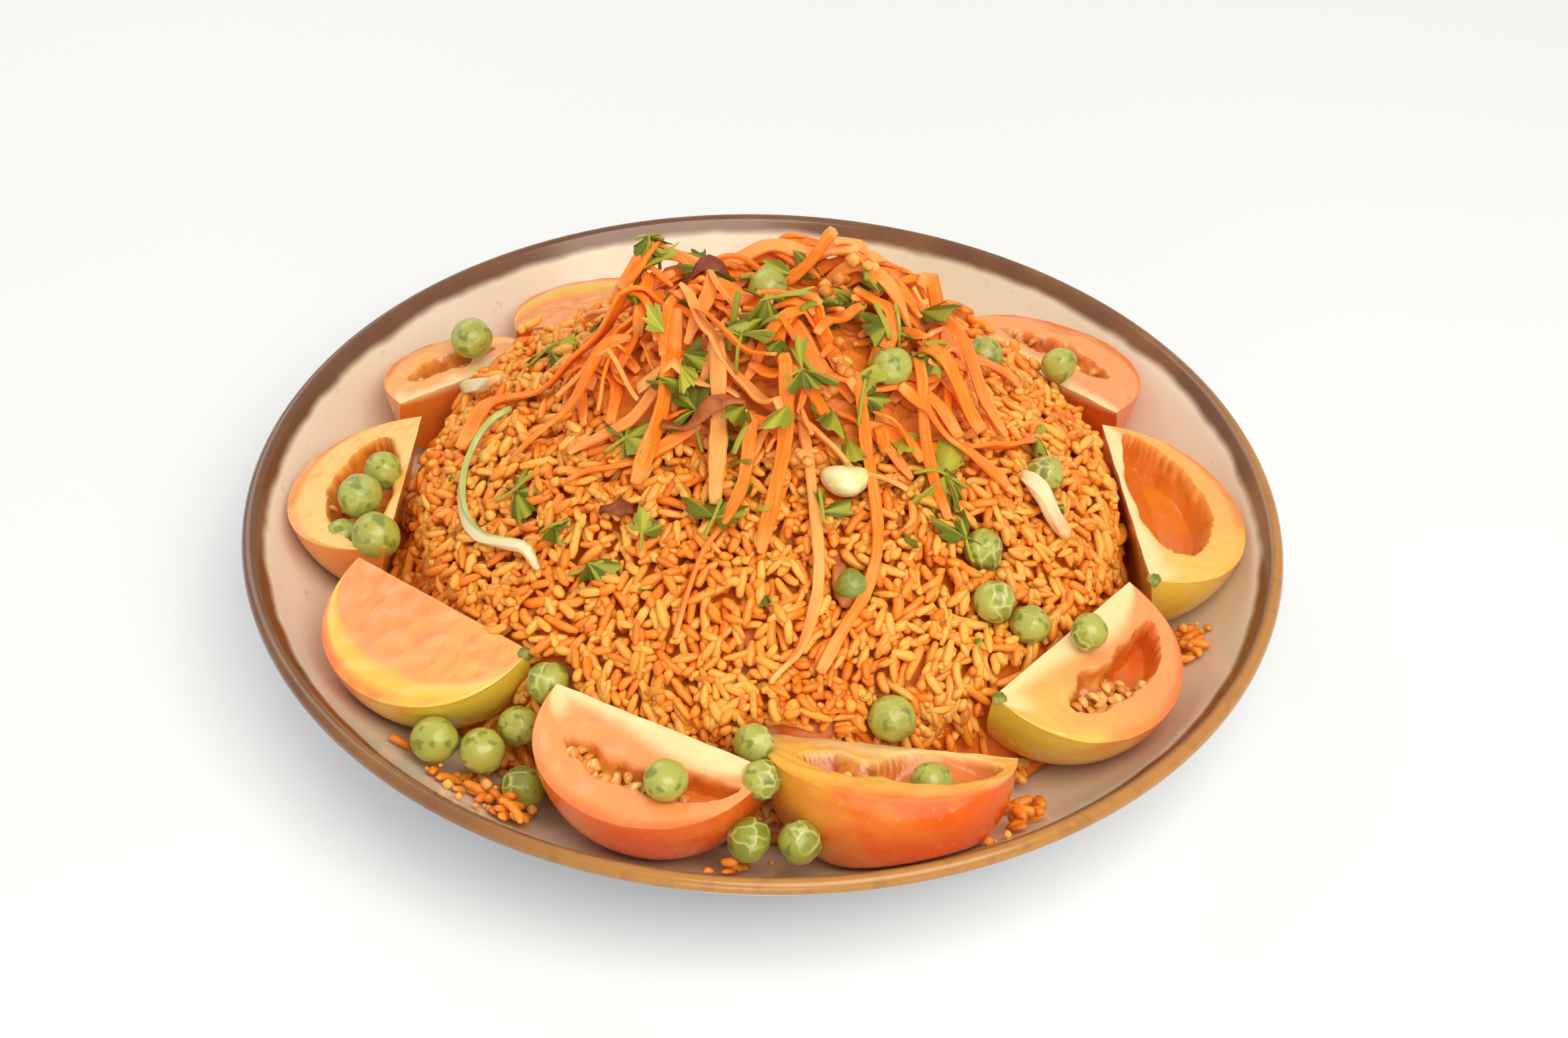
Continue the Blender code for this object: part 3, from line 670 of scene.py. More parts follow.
def mixed(tree, factor, first, second):
    """Mix two colours, given as colours or as sockets."""
    mix = node(tree, "ShaderNodeMix", {0: factor}, data_type="RGBA")
    for index, value in ((6, first), (7, second)):
        is_link = isinstance(value, bpy.types.NodeSocket)
        feed(tree, mix.inputs[index], value if is_link else (*value, 1))
    return mix.outputs[2]


def maths(tree, operation, first, second=0.0, clamp=False):
    """The result of an operation on two values."""
    return node(tree, "ShaderNodeMath", {0: first, 1: second}, operation=operation,
                use_clamp=clamp).outputs[0]


def plus(tree, first, second, clamp=False):
    """A sum of two values."""
    return maths(tree, "ADD", first, second, clamp)


def minus(tree, first, second, clamp=False):
    """A difference of two values."""
    return maths(tree, "SUBTRACT", first, second, clamp)


def times(tree, first, *others):
    """A product of values."""
    for other in others:
        first = maths(tree, "MULTIPLY", first, other)
    return first


def swing(tree, pattern, size):
    """A noise pattern made to swing round nought."""
    return times(tree, minus(tree, pattern, 0.5), size)


def stretched(tree, value, low, high, to_low=0.0, to_high=1.0):
    """A value eased from one range to another."""
    inputs = {"Value": value, "From Min": low, "From Max": high, "To Min": to_low, "To Max": to_high}
    return node(tree, "ShaderNodeMapRange", inputs, interpolation_type="SMOOTHSTEP").outputs[0]


def tinted(colour, shares):
    """A colour with each of its three parts reduced to a share."""
    return [part * share for part, share in zip(colour, shares)]


def attribute(tree, name):
    """The value of a mesh attribute."""
    return node(tree, "ShaderNodeAttribute", attribute_name=name).outputs["Fac"]


def noise_on(tree, coordinate, scale, detail=2.0, roughness=0.5):
    """A noise pattern on a coordinate."""
    return node(tree, "ShaderNodeTexNoise", {"Vector": coordinate, "Scale": scale, "Detail": detail,
                                             "Roughness": roughness}).outputs[0]


def place_of(tree):
    """Object coordinates."""
    return node(tree, "ShaderNodeTexCoord").outputs["Object"]


def scaled(tree, coordinate, size):
    """A coordinate stretched by three numbers."""
    return node(tree, "ShaderNodeMapping", {"Vector": coordinate, "Scale": size}).outputs[0]


def ways_on(tree):
    """Shares along and across a piece's own surface, and both as one coordinate."""
    surface = node(tree, "ShaderNodeUVMap", uv_map="along").outputs[0]
    apart = node(tree, "ShaderNodeSeparateXYZ", {0: surface})
    return apart.outputs[0], apart.outputs[1], surface


def new_group(name, inputs, outputs):
    """A new shader node group of plain numbers, with its nodes for what goes in and comes out."""
    tree = bpy.data.node_groups.new(name, "ShaderNodeTree")
    for label, default in inputs.items():
        socket = tree.interface.new_socket(name=label, in_out="INPUT", socket_type="NodeSocketFloat")
        socket.default_value = default
    for label in outputs:
        tree.interface.new_socket(name=label, in_out="OUTPUT", socket_type="NodeSocketFloat")
    return tree, tree.nodes.new("NodeGroupInput").outputs, tree.nodes.new("NodeGroupOutput").inputs


def wet_group():
    """Uneven wetness: a roughness and a fine height that vary over the surface."""
    if "Wet surface" in bpy.data.node_groups:
        return bpy.data.node_groups["Wet surface"]
    values = {"Scale": 300.0, "Driest": 0.6, "Wettest": 0.3, "Grain": 1200.0}
    tree, start, end = new_group("Wet surface", values, ("Roughness", "Height"))
    place = place_of(tree)
    pools = noise_on(tree, place, start["Scale"], 3.0)
    rough = node(tree, "ShaderNodeMapRange", {"Value": pools, "From Min": 0.35, "From Max": 0.65,
                                              "To Min": start["Wettest"], "To Max": start["Driest"]})
    fine = noise_on(tree, place, start["Grain"], 2.0)
    both = plus(tree, times(tree, pools, 0.6), times(tree, fine, 0.4))
    tree.links.new(rough.outputs[0], end["Roughness"])
    tree.links.new(both, end["Height"])
    return tree


def fibre_group():
    """Fibres that run along a strand, as a pattern and as a mask of its ends."""
    if "Fibres" in bpy.data.node_groups:
        return bpy.data.node_groups["Fibres"]
    values = {"Along": 3.0, "Across": 14.0, "Tone": 0.0}
    tree, start, end = new_group("Fibres", values, ("Streaks", "Ends"))
    along, across, _ = ways_on(tree)
    joined = node(tree, "ShaderNodeCombineXYZ", {
        0: times(tree, along, start["Along"]),
        1: times(tree, across, start["Across"]),
        2: times(tree, start["Tone"], 57.0),
    }).outputs[0]
    from_middle = maths(tree, "ABSOLUTE", minus(tree, along, 0.5))
    tree.links.new(noise_on(tree, joined, 1.0, 3.0), end["Streaks"])
    tree.links.new(stretched(tree, from_middle, 0.36, 0.5), end["Ends"])
    return tree


def wetness(tree, scale, driest, wettest, grain):
    """Roughness and fine height of a wet surface."""
    inputs = {"Scale": scale, "Driest": driest, "Wettest": wettest, "Grain": grain}
    made = node(tree, "ShaderNodeGroup", inputs, node_tree=wet_group())
    return made.outputs["Roughness"], made.outputs["Height"]


def fibres(tree, along, across, tone):
    """Streaks of a fibrous strand and the mask of its ends."""
    inputs = {"Along": along, "Across": across, "Tone": tone}
    made = node(tree, "ShaderNodeGroup", inputs, node_tree=fibre_group())
    return made.outputs["Streaks"], made.outputs["Ends"]


def blank_material(name, **constants):
    """A material with a Principled shader and its constant settings."""
    made = bpy.data.materials.new(name)
    made.use_nodes = True
    tree = made.node_tree
    shader = tree.nodes["Principled BSDF"]
    for key, value in constants.items():
        shader.inputs[key.replace("_", " ")].default_value = value
    return made, tree, shader


def dress(tree, shader, colour, rough=None, height=None, strength=0.3, distance=0.0004):
    """Link colour, roughness and bump to the shader."""
    tree.links.new(colour, shader.inputs["Base Color"])
    if rough is not None:
        tree.links.new(rough, shader.inputs["Roughness"])
    if height is not None:
        bump = node(tree, "ShaderNodeBump", {"Height": height, "Strength": strength, "Distance": distance})
        tree.links.new(bump.outputs[0], shader.inputs["Normal"])


def glaze_material(settings):
    """Off-white glaze inside, pale wall outside, a brown band at the rim, and a painted golden highlight on
    the band's outer edge at the front and right.
    """
    made, tree, shader = blank_material("plate_glaze", Coat_Weight=0.35, Coat_Roughness=0.12)
    place = place_of(tree)
    x, y, height = node(tree, "ShaderNodeSeparateXYZ", {0: place}).outputs
    flat = scaled(tree, place, (1, 1, 0))
    radius = node(tree, "ShaderNodeVectorMath", {0: flat}, operation="LENGTH").outputs["Value"]
    cloud = noise_on(tree, place, 14, 4)
    specks = noise_on(tree, place, 260, 3)
    inside = mixed(tree, stretched(tree, cloud, 0.3, 0.7), settings.glaze,
                   tinted(settings.glaze, (0.92, 0.88, 0.82)))
    inside = mixed(tree, stretched(tree, specks, 0.66, 0.74, 0, 0.25), inside, settings.band_gold_and_highlight)
    normal = node(tree, "ShaderNodeNewGeometry").outputs["Normal"]
    facing = node(tree, "ShaderNodeSeparateXYZ", {0: normal}).outputs[2]
    out_wall = maths(tree, "LESS_THAN", facing, 0.0)
    shell = mixed(tree, out_wall, inside, settings.wall)
    wobble = swing(tree, noise_on(tree, place, 60, 2), 0.0022)
    band_in = stretched(tree, plus(tree, radius, wobble), 0.1088, 0.1106)
    band_out = stretched(tree, plus(tree, height, wobble), 0.0300, 0.0308)
    band = times(tree, maths(tree, "MAXIMUM", band_in, out_wall), band_out)
    # Painted highlight: the outer edge of the rim band turns golden towards the front and right, where the
    # light catches it
    painted_highlight_side = stretched(tree, minus(tree, x, y), 0.0, 0.11)
    golden = times(tree, stretched(tree, radius, 0.1118, 0.1134), painted_highlight_side)
    worn = stretched(tree, noise_on(tree, place, 40, 3), 0.4, 0.8, 0, 0.4)
    brown = mixed(tree, worn, settings.band, settings.band_gold_and_highlight)
    brown = mixed(tree, golden, brown, settings.band_gold_and_highlight)
    brown = mixed(tree, stretched(tree, specks, 0.5, 0.7, 0, 0.25), brown, settings.band)
    rough = stretched(tree, cloud, 0.3, 0.7, 0.18, 0.30)
    dress(tree, shader, mixed(tree, band, shell, brown), rough, noise_on(tree, place, 45, 2), 0.12, 0.0006)
    return made


def rice_material(name, settings, darker=0.0):
    """Grains in shades of orange, glossy with oil. Darker moves every shade towards the deep colour:
    painted shade on the heap's core where it shows between the grains.
    """
    made, tree, shader = blank_material(name, Subsurface_Weight=0.4, Subsurface_Scale=0.003,
                                        Subsurface_Radius=(1.0, 0.5, 0.15), Coat_Weight=0.08)
    place = place_of(tree)
    patch = noise_on(tree, place, 55, 3)
    shade = plus(tree, times(tree, attribute(tree, "tone"), 0.6), times(tree, patch, 0.6))
    ramp = node(tree, "ShaderNodeValToRGB", {0: minus(tree, shade, darker)})
    stops = ((0.12, settings.deep), (0.42, settings.middle), (0.85, settings.light))
    ramp.color_ramp.elements.new(0.5)
    for element, (position, colour) in zip(ramp.color_ramp.elements, stops):
        element.position = position
        element.color = (*colour, 1)
    spots = stretched(tree, noise_on(tree, place, 900, 3), 0.60, 0.72, 0, 0.55)
    rough, fine = wetness(tree, 320.0, 0.55, 0.30, 1500.0)
    dress(tree, shader, mixed(tree, spots, ramp.outputs[0], settings.deep), rough, fine, 0.35, 0.0003)
    return made


def carrot_material(settings):
    """Orange shreds with pale fibrous ends."""
    made, tree, shader = blank_material("carrot_shred", Subsurface_Weight=0.3, Subsurface_Scale=0.002,
                                        Subsurface_Radius=(1.0, 0.45, 0.1), Specular_IOR_Level=0.35)
    tone = attribute(tree, "tone")
    streak, ends = fibres(tree, 5.0, 9.0, tone)
    deep = tinted(settings.carrot, (0.95, 0.72, 0.6))
    colour = mixed(tree, stretched(tree, streak, 0.35, 0.65), deep, settings.carrot)
    pale = plus(tree, times(tree, ends, 0.45), stretched(tree, tone, 0.70, 1.0, 0, 0.6))
    pale = plus(tree, pale, stretched(tree, streak, 0.55, 0.75, 0, 0.3), clamp=True)
    rough, fine = wetness(tree, 260.0, 0.55, 0.30, 1100.0)
    height = plus(tree, streak, times(tree, fine, 0.4))
    dress(tree, shader, mixed(tree, pale, colour, settings.carrot_end), rough, height, 0.5, 0.0003)
    return made


def white_material(settings):
    """Pale shreds, one with a green edge and the others with an orange, oily end."""
    made, tree, shader = blank_material("white_shred", Subsurface_Weight=0.3, Subsurface_Scale=0.002,
                                        Subsurface_Radius=(1.0, 0.8, 0.5), Coat_Weight=0.2)
    tone = attribute(tree, "tone")
    streak, _ = fibres(tree, 3.0, 8.0, tone)
    along, across, _ = ways_on(tree)
    edge = times(tree, stretched(tree, across, 0.45, 0.05), tone)
    colour = mixed(tree, edge, settings.white, settings.white_green)
    stain = times(tree, stretched(tree, along, 0.45, 1.0), minus(tree, 1.0, tone), 0.7)
    colour = mixed(tree, stain, colour, linear("EFA25C"))
    colour = mixed(tree, stretched(tree, streak, 0.5, 0.7, 0, 0.35), colour, linear("F8F2DC"))
    rough, _ = wetness(tree, 220.0, 0.5, 0.25, 1100.0)
    dress(tree, shader, colour, rough, streak, 0.35, 0.0003)
    return made


def leaf_material(settings):
    """Coriander: dark green with lighter veins and young leaves, and noise patches of painted shade."""
    made, tree, shader = blank_material("coriander_leaf", Specular_IOR_Level=0.3)
    _, across, _ = ways_on(tree)
    vein = stretched(tree, across, 0.12, 0.0, 0, 0.7)
    shade = plus(tree, stretched(tree, attribute(tree, "tone"), 0.55, 1.0, 0, 0.8), vein, clamp=True)
    # A shaded copy of the leaf colour, spread in noise patches: painted shade
    dark = tinted(settings.leaf, (0.3, 0.3, 0.3))
    colour = mixed(tree, noise_on(tree, place_of(tree), 160, 3), dark, settings.leaf)
    rough, fine = wetness(tree, 260.0, 0.6, 0.32, 1400.0)
    dress(tree, shader, mixed(tree, shade, colour, settings.leaf_light), rough, fine, 0.4, 0.0003)
    return made


def pea_material(settings):
    """Dimpled peas with dark patches in a pale net."""
    made, tree, shader = blank_material("pea_skin", Subsurface_Weight=0.25, Subsurface_Scale=0.002,
                                        Subsurface_Radius=(0.6, 1.0, 0.2), Coat_Weight=0.35,
                                        Coat_Roughness=0.18)
    # A pea with a low tone leans to this darker copy: a random tone on most peas, painted shade on the two
    # in shadow at the front
    dark = tinted(settings.pea, (0.75, 0.85, 0.6))
    colour = mixed(tree, attribute(tree, "tone"), dark, settings.pea)
    colour = mixed(tree, times(tree, attribute(tree, "patch"), 0.9), colour, settings.pea_dark)
    colour = mixed(tree, times(tree, attribute(tree, "vein"), 0.7), colour, settings.pea_vein)
    rough, fine = wetness(tree, 240.0, 0.42, 0.22, 1300.0)
    dress(tree, shader, colour, rough, fine, 0.2, 0.0003)
    return made


def tomato_material(settings):
    """Cut flesh, cream core, seed gel, skin from yellow-green to orange-red, and painted shade in the empty
    hollows.
    """
    made, tree, shader = blank_material("tomato", Subsurface_Weight=0.3, Subsurface_Scale=0.004,
                                        Subsurface_Radius=(1.0, 0.4, 0.15), Coat_Weight=0.45,
                                        Coat_Roughness=0.1)
    place = place_of(tree)
    _, out, surface = ways_on(tree)
    streak = noise_on(tree, scaled(tree, surface, (7, 1.6, 1)), 1.6, 4, 0.55)
    ray = noise_on(tree, scaled(tree, surface, (7, 2.6, 1)), 1.0, 3, 0.6)
    cloud = noise_on(tree, place, 70, 3)
    lumps = noise_on(tree, place, 220, 3)
    dots = noise_on(tree, place, 700, 2)
    ripe, gold, core, hollow, empty, fleshy, skin = (
        attribute(tree, name) for name in ("ripe", "gold", "core", "hollow", "empty", "fleshy", "skin"))

    flesh = mixed(tree, gold, settings.flesh, settings.flesh_gold)
    pink = tinted(settings.flesh, (1.0, 0.78, 0.75))
    flesh = mixed(tree, stretched(tree, streak, 0.48, 0.70, 0, 0.25), flesh, pink)
    rays = times(tree, fleshy, stretched(tree, ray, 0.47, 0.60), stretched(tree, out, 0.78, 0.5), 0.3)
    flesh = mixed(tree, rays, flesh, linear("E0703E"))
    girdle = times(tree, stretched(tree, out, 0.66, 0.8), stretched(tree, out, 0.97, 0.86), fleshy, 0.75)
    flesh = mixed(tree, girdle, flesh, settings.skin_unripe)
    rind = mixed(tree, ripe, settings.skin_unripe, settings.skin_ripe)
    edge = stretched(tree, plus(tree, out, swing(tree, cloud, 0.12)), 0.86, 1.0, 0, 0.75)
    flesh = mixed(tree, edge, flesh, rind)
    cream = stretched(tree, plus(tree, core, swing(tree, streak, 0.25)), 0.08, 0.9)
    flesh = mixed(tree, cream, flesh, settings.core)

    shaded = tinted(settings.gel, (0.62, 0.42, 0.35))
    jelly = mixed(tree, stretched(tree, lumps, 0.35, 0.65), shaded, settings.gel)
    jelly = mixed(tree, stretched(tree, lumps, 0.62, 0.75, 0, 0.8), jelly, settings.seed)
    # Deep orange walls of the empty hollows: painted shade in the recess
    wall = mixed(tree, gold, linear("D65E10"), linear("D87A18"))
    wall = mixed(tree, stretched(tree, cloud, 0.3, 0.7), wall, linear("E2801E"))
    flesh = mixed(tree, hollow, flesh, mixed(tree, empty, jelly, wall))

    rind = mixed(tree, stretched(tree, dots, 0.62, 0.72, 0, 0.25), rind, settings.flesh_gold)
    rind = mixed(tree, stretched(tree, cloud, 0.45, 0.75, 0, 0.2), rind, settings.skin_unripe)
    rough, fine = wetness(tree, 180.0, 0.36, 0.18, 700.0)
    cut = minus(tree, minus(tree, 1.0, skin), hollow, clamp=True)
    relief = plus(tree, times(tree, fine, minus(tree, 1.1, skin)), times(tree, streak, cut))
    dress(tree, shader, mixed(tree, skin, flesh, rind), rough, relief, 0.3, 0.0005)
    return made


def crust_material(name, base, pale, scale, coat=0.0):
    """Fried, crumbly or plain surface in two shades."""
    made, tree, shader = blank_material(name, Subsurface_Weight=0.08, Subsurface_Scale=0.001,
                                        Coat_Weight=coat)
    patch = noise_on(tree, place_of(tree), scale, 4, 0.6)
    shade = plus(tree, patch, swing(tree, attribute(tree, "tone"), 0.5))
    rough, fine = wetness(tree, scale, 0.65, 0.35, 1500.0)
    colour = mixed(tree, stretched(tree, shade, 0.35, 0.7), base, pale)
    dress(tree, shader, colour, rough, fine, 0.6, 0.0005)
    return made


def floor_material(settings):
    """Plain pale floor."""
    made, tree, shader = blank_material("pale_floor", Roughness=0.7)
    cloud = noise_on(tree, place_of(tree), 3, 2)
    dress(tree, shader, mixed(tree, cloud, settings.floor, tinted(settings.floor, (0.985, 0.985, 0.985))))
    return made


class RICEPLATE_OT_stage(Operator):
    """Camera at the photo's viewing angle, pale floor and soft studio light"""

    bl_idname = "riceplate.stage"
    bl_label = "Stage and camera"

    def execute(self, context):
        """Add the camera, the floor and the lights."""
        settings = context.scene.riceplate_stage
        camera = bpy.data.cameras.new("camera")
        camera.lens = LENS
        camera.sensor_width = SENSOR_WIDTH
        camera.clip_start = 0.01
        seen_from = bpy.data.objects.new("camera", camera)
        turned = Matrix(CAMERA_WAYS).transposed().to_4x4()
        turned.translation = CAMERA_PLACE
        seen_from.matrix_world = turned
        context.scene.collection.objects.link(seen_from)
        context.scene.camera = seen_from

        bpy.ops.mesh.primitive_plane_add(size=6)
        floor = context.object
        floor.name = "pale_floor"
        floor.data.materials.append(floor_material(settings))

        world = bpy.data.worlds.new("soft_room")
        world.use_nodes = True
        sky = world.node_tree.nodes["Background"]
        sky.inputs["Color"].default_value = SKY_TINT
        sky.inputs["Strength"].default_value = SKY_STRENGTH
        context.scene.world = world
        context.scene.view_settings.view_transform = "Standard"
        for name, (place, size, strength, tint) in LAMPS.items():
            lamp = bpy.data.lights.new(name, "AREA")
            lamp.size = size
            lamp.energy = getattr(settings, strength)
            lamp.color = tint
            hung = bpy.data.objects.new(name, lamp)
            hung.location = place
            hung.rotation_mode = "QUATERNION"
            hung.rotation_quaternion = (Vector(place) - LIT_POINT).to_track_quat("Z", "Y")
            context.scene.collection.objects.link(hung)
        return {"FINISHED"}


def arc(middle, radius, degrees):
    """Points of the plate's outline on a bend, at angles from straight down."""
    angles = [math.radians(angle) for angle in degrees]
    return [(middle[0] + radius * math.sin(a), middle[1] - radius * math.cos(a)) for a in angles]


class RICEPLATE_OT_plate(Operator):
    """Glazed plate, turned from its outline"""

    bl_idname = "riceplate.plate"
    bl_label = "Plate"

    def execute(self, context):
        """Draw the outline, turn it and close it."""
        settings = context.scene.riceplate_plate
        outline = [(0, FOOT_HEIGHT / 2), (FOOT_INNER - 1, FOOT_HEIGHT / 2), (FOOT_INNER - 0.3, 0.4),
                   (FOOT_INNER + 0.5, 0), (FOOT_OUTER - 0.5, 0), (FOOT_OUTER + 0.3, 0.5),
                   (FOOT_OUTER + 2, FOOT_HEIGHT)]
        rim = (PLATE_RADIUS - RIM_ROUNDING, PLATE_HEIGHT - RIM_ROUNDING)
        outline += arc(OUTER_BEND, OUTER_BEND_RADIUS, [OUTER_BEND_END * i / 24 for i in range(1, 24)])
        outline += arc(rim, RIM_ROUNDING, [70 + 175 * i / 8 for i in range(9)])
        outline += arc(INNER_BEND, INNER_BEND_RADIUS, [INNER_BEND_END * i / 28 for i in range(27, -1, -1)])
        outline += [(40, FLOOR_HEIGHT), (20, FLOOR_HEIGHT), (0, FLOOR_HEIGHT)]
        mesh = bpy.data.meshes.new("glazed_plate")
        points = [(x * MILLIMETRE, 0, z * MILLIMETRE) for x, z in outline]
        mesh.from_pydata(points, [(i, i + 1) for i in range(len(points) - 1)], [])
        plate = bpy.data.objects.new("glazed_plate", mesh)
        context.scene.collection.objects.link(plate)
        select_alone(plate)
        bpy.ops.object.mode_set(mode="EDIT")
        bpy.ops.mesh.select_all(action="SELECT")
        bpy.ops.mesh.spin(steps=settings.turns, angle=TAU, center=(0, 0, 0), axis=(0, 0, 1))
        bpy.ops.mesh.select_all(action="SELECT")
        bpy.ops.mesh.remove_doubles(threshold=0.00001)
        bpy.ops.mesh.normals_make_consistent(inside=False)
        bpy.ops.object.mode_set(mode="OBJECT")
        bpy.ops.object.shade_smooth_by_angle(angle=math.radians(60))
        mesh.materials.append(glaze_material(settings))
        carry(plate, ("plate",))
        return {"FINISHED"}


def wedge_axes(name):
    """Middle of the core line, the way along it and the way out to the skin."""
    turn, distance, height, yaw = WEDGES[name][:4]
    rim_way = polar(turn, 1)
    ring_way = polar(turn + 90, 1)
    yaw = math.radians(yaw)
    along = ring_way * math.cos(yaw) + rim_way * math.sin(yaw)
    out = rim_way * math.cos(yaw) - ring_way * math.sin(yaw)
    return np.array(polar(turn, distance, height)), np.array(along), np.array(out)


def spoke(out, degrees):
    """The way out from the core line at an angle below level."""
    angle = math.radians(degrees)
    return out * math.cos(angle) - np.array(UP) * math.sin(angle)


def hollow_depth(name, s, f):
    """Depth of the hollows under places on the cut face, and how empty they are, from 0 to 1."""
    depth = np.zeros_like(s)
    empty = np.zeros_like(s)
    thickness = WEDGES[name][6] * np.sqrt(np.maximum(1 - s * s, 0)) ** WEDGE_TAPER * f
    for start, end, inner, outer, deep, seeds in HOLLOWS.get(name, ()):
        rough = 1.0 if seeds >= FEWEST_SEEDS else 0.35
        lobes = rough * (0.035 * np.sin(s * 11 + inner * 40) + 0.02 * np.sin(s * 23 + outer * 30))
        arch = np.maximum(1 - ((2 * s - start - end) / (end - start)) ** 2, 0) ** 0.4
        middle = inner * 0.4 + outer * 0.6
        low, high = middle - (middle - inner) * arch, middle + (outer - middle) * arch
        here = smoothstep((f - low - lobes * arch) / 0.09)
        here = here * smoothstep((high + lobes * 0.6 * arch - f) / 0.06)
        here = here * smoothstep(arch / 0.35)
        depth = np.maximum(depth, here * np.minimum(deep, 0.75 * thickness + 0.3))
        empty = np.maximum(empty, here * (seeds < FEWEST_SEEDS))
    return depth, empty


def wedge_looks(name, s, f, wave, mask, empty):
    """Numbers that the tomato material reads, at places along and across a wedge and at its tips."""
    cream, gold, ripe_left, ripe_right, fleshy = FACES[name]
    rising = ripe_left < ripe_right
    on_face = f <= 1
    turning = smoothstep((s + (1.0 if rising else 0.5)) / 1.2 + wave * 0.4)
    ripe = ripe_left + (ripe_right - ripe_left) * turning
    inner = 0.36 + 0.08 * np.sin(s * 3 + gold * 9)
    creamy = cream * smoothstep((inner - f) / 0.34) * on_face * (1 - empty)
    stem_side = smoothstep((0.62 + s * (1 if rising else -1)) / -0.3)
    creamy = np.maximum(creamy, 0.7 * cream * stem_side * smoothstep((0.7 - f) / 0.4) * on_face)
    golden = np.clip(gold * 0.6 + (1 - ripe) * 0.7 * (1 - 0.6 * fleshy) + wave * 0.15, 0, 1)
    ripe = np.clip(ripe - 0.25 * smoothstep((f - 1.35) / 0.5) * (1 - ripe), 0, 1)
    looks = {"hollow": mask, "core": creamy, "ripe": ripe, "empty": empty, "gold": golden,
             "fleshy": np.full(s.shape, fleshy), "skin": (f > 1.0) & (f <= 2.0)}
    tips = {"ripe": (ripe_left, ripe_right), "skin": (1, 1)}
    return {key: np.concatenate((np.asarray(data, float).ravel(), tips.get(key, (0, 0))))
            for key, data in looks.items()}


def build_wedge(name, finish):
    """One tomato wedge: cut face with its hollow and flesh, skin, and the hidden cut."""
    tilt, half_length, radius, opening = WEDGES[name][4:]
    core, along, out = wedge_axes(name)
    face = np.arange(FACE_STEPS + 1) / FACE_STEPS
    skin = np.arange(1, SKIN_STEPS + 1) / SKIN_STEPS
    back = np.arange(1, BACK_STEPS) / BACK_STEPS
    across = np.concatenate((face, 1 + skin, 2 + back))
    share = np.concatenate((face, np.ones(SKIN_STEPS), 1 - back))
    degrees = tilt + opening * np.concatenate((face * 0, skin, back * 0 + 1))
    spokes = np.array([spoke(out, angle) for angle in degrees])
    angle = np.pi * np.arange(1, WEDGE_STEPS) / WEDGE_STEPS
    bulge = radius * np.sin(angle) ** WEDGE_TAPER
    points = (core + along * (-np.cos(angle) * half_length)[:, None, None]
              + spokes * (bulge[:, None] * share)[:, :, None])

    s = np.broadcast_to(-np.cos(angle)[:, None], points.shape[:2])
    f = np.broadcast_to(across, points.shape[:2])
    on_face = f <= 1
    deep, empty = (part * on_face for part in hollow_depth(name, s, np.minimum(f, 1)))
    mask = smoothstep(deep / 1.8)
    own = len(name) + core[0]
    wave = np.array([[noise.noise(Vector((a * 5, b * 6, own))) for b in across] for a in s[:, 0]])
    lumps = np.array([[noise.noise(Vector((a * 15, b * 16, core[1]))) for b in across] for a in s[:, 0]])
    swell = 0.35 * smoothstep((f - 0.6) / 0.2) * smoothstep((1 - f) / 0.12) + wave * 0.35
    room = np.sin(angle)[:, None] ** 0.8
    drop = deep + mask * lumps * (1 - 0.9 * empty) * 1.1 - on_face * swell * room
    points = points - spoke(out, tilt - 90) * drop[:, :, None]

    tips = [core - along * half_length, core + along * half_length]
    cloud = settle(np.concatenate((points.reshape(-1, 3), tips)))
    coordinates = np.concatenate((np.column_stack((s.ravel(), f.ravel())), [(-1, 0.5), (1, 0.5)]))
    piece = new_piece(name.replace("wedge", "piece"), cloud, tube_faces(WEDGE_STEPS - 1, len(across)),
                      finish, (name,), coordinates, wedge_looks(name, s, f, wave, mask, empty))
    select_alone(piece)
    bpy.ops.object.mode_set(mode="EDIT")
    bpy.ops.mesh.select_all(action="SELECT")
    bpy.ops.mesh.normals_make_consistent(inside=False)
    bpy.ops.object.mode_set(mode="OBJECT")
    bpy.ops.object.shade_smooth_by_angle(angle=math.radians(45))


def add_seeds(name, seeds, draw):
    """Seeds strewn in the hollows of one wedge."""
    tilt, half_length, radius = WEDGES[name][4:7]
    core, along, out = wedge_axes(name)
    girth = np.array((0.8, 1.7, 2.1, 1.8, 0.9))
    for start, end, inner, outer, _, count in HOLLOWS.get(name, ()):
        for _ in range(count * 2):
            place = draw.uniform(start + 0.08, end - 0.08)
            reach = draw.uniform((inner + outer) / 2 - 0.05, outer + 0.01)
            low = float(hollow_depth(name, np.array(place), np.array(reach))[0])
            if low < 1.2:
                continue
            width = radius * math.sin(math.acos(-place)) ** WEDGE_TAPER
            low -= draw.uniform(0.3, 1.3)
            spot = core + along * (place * half_length) + spoke(out, tilt) * width * reach
            spot = spot - spoke(out, tilt - 90) * low
            heading = out + along * draw.uniform(-0.5, 0.5)
            heading = heading / np.linalg.norm(heading)
            path = np.array([spot + heading * t + np.array(UP) * 0.3 * (1 - t * t)
                             for t in (-1.5, -0.8, 0, 0.8, 1.5)])
            leans = np.full(5, draw.uniform(-0.6, 0.6))
            seeds.add(*strand(path, girth, girth * 0.6, leans), draw.random())


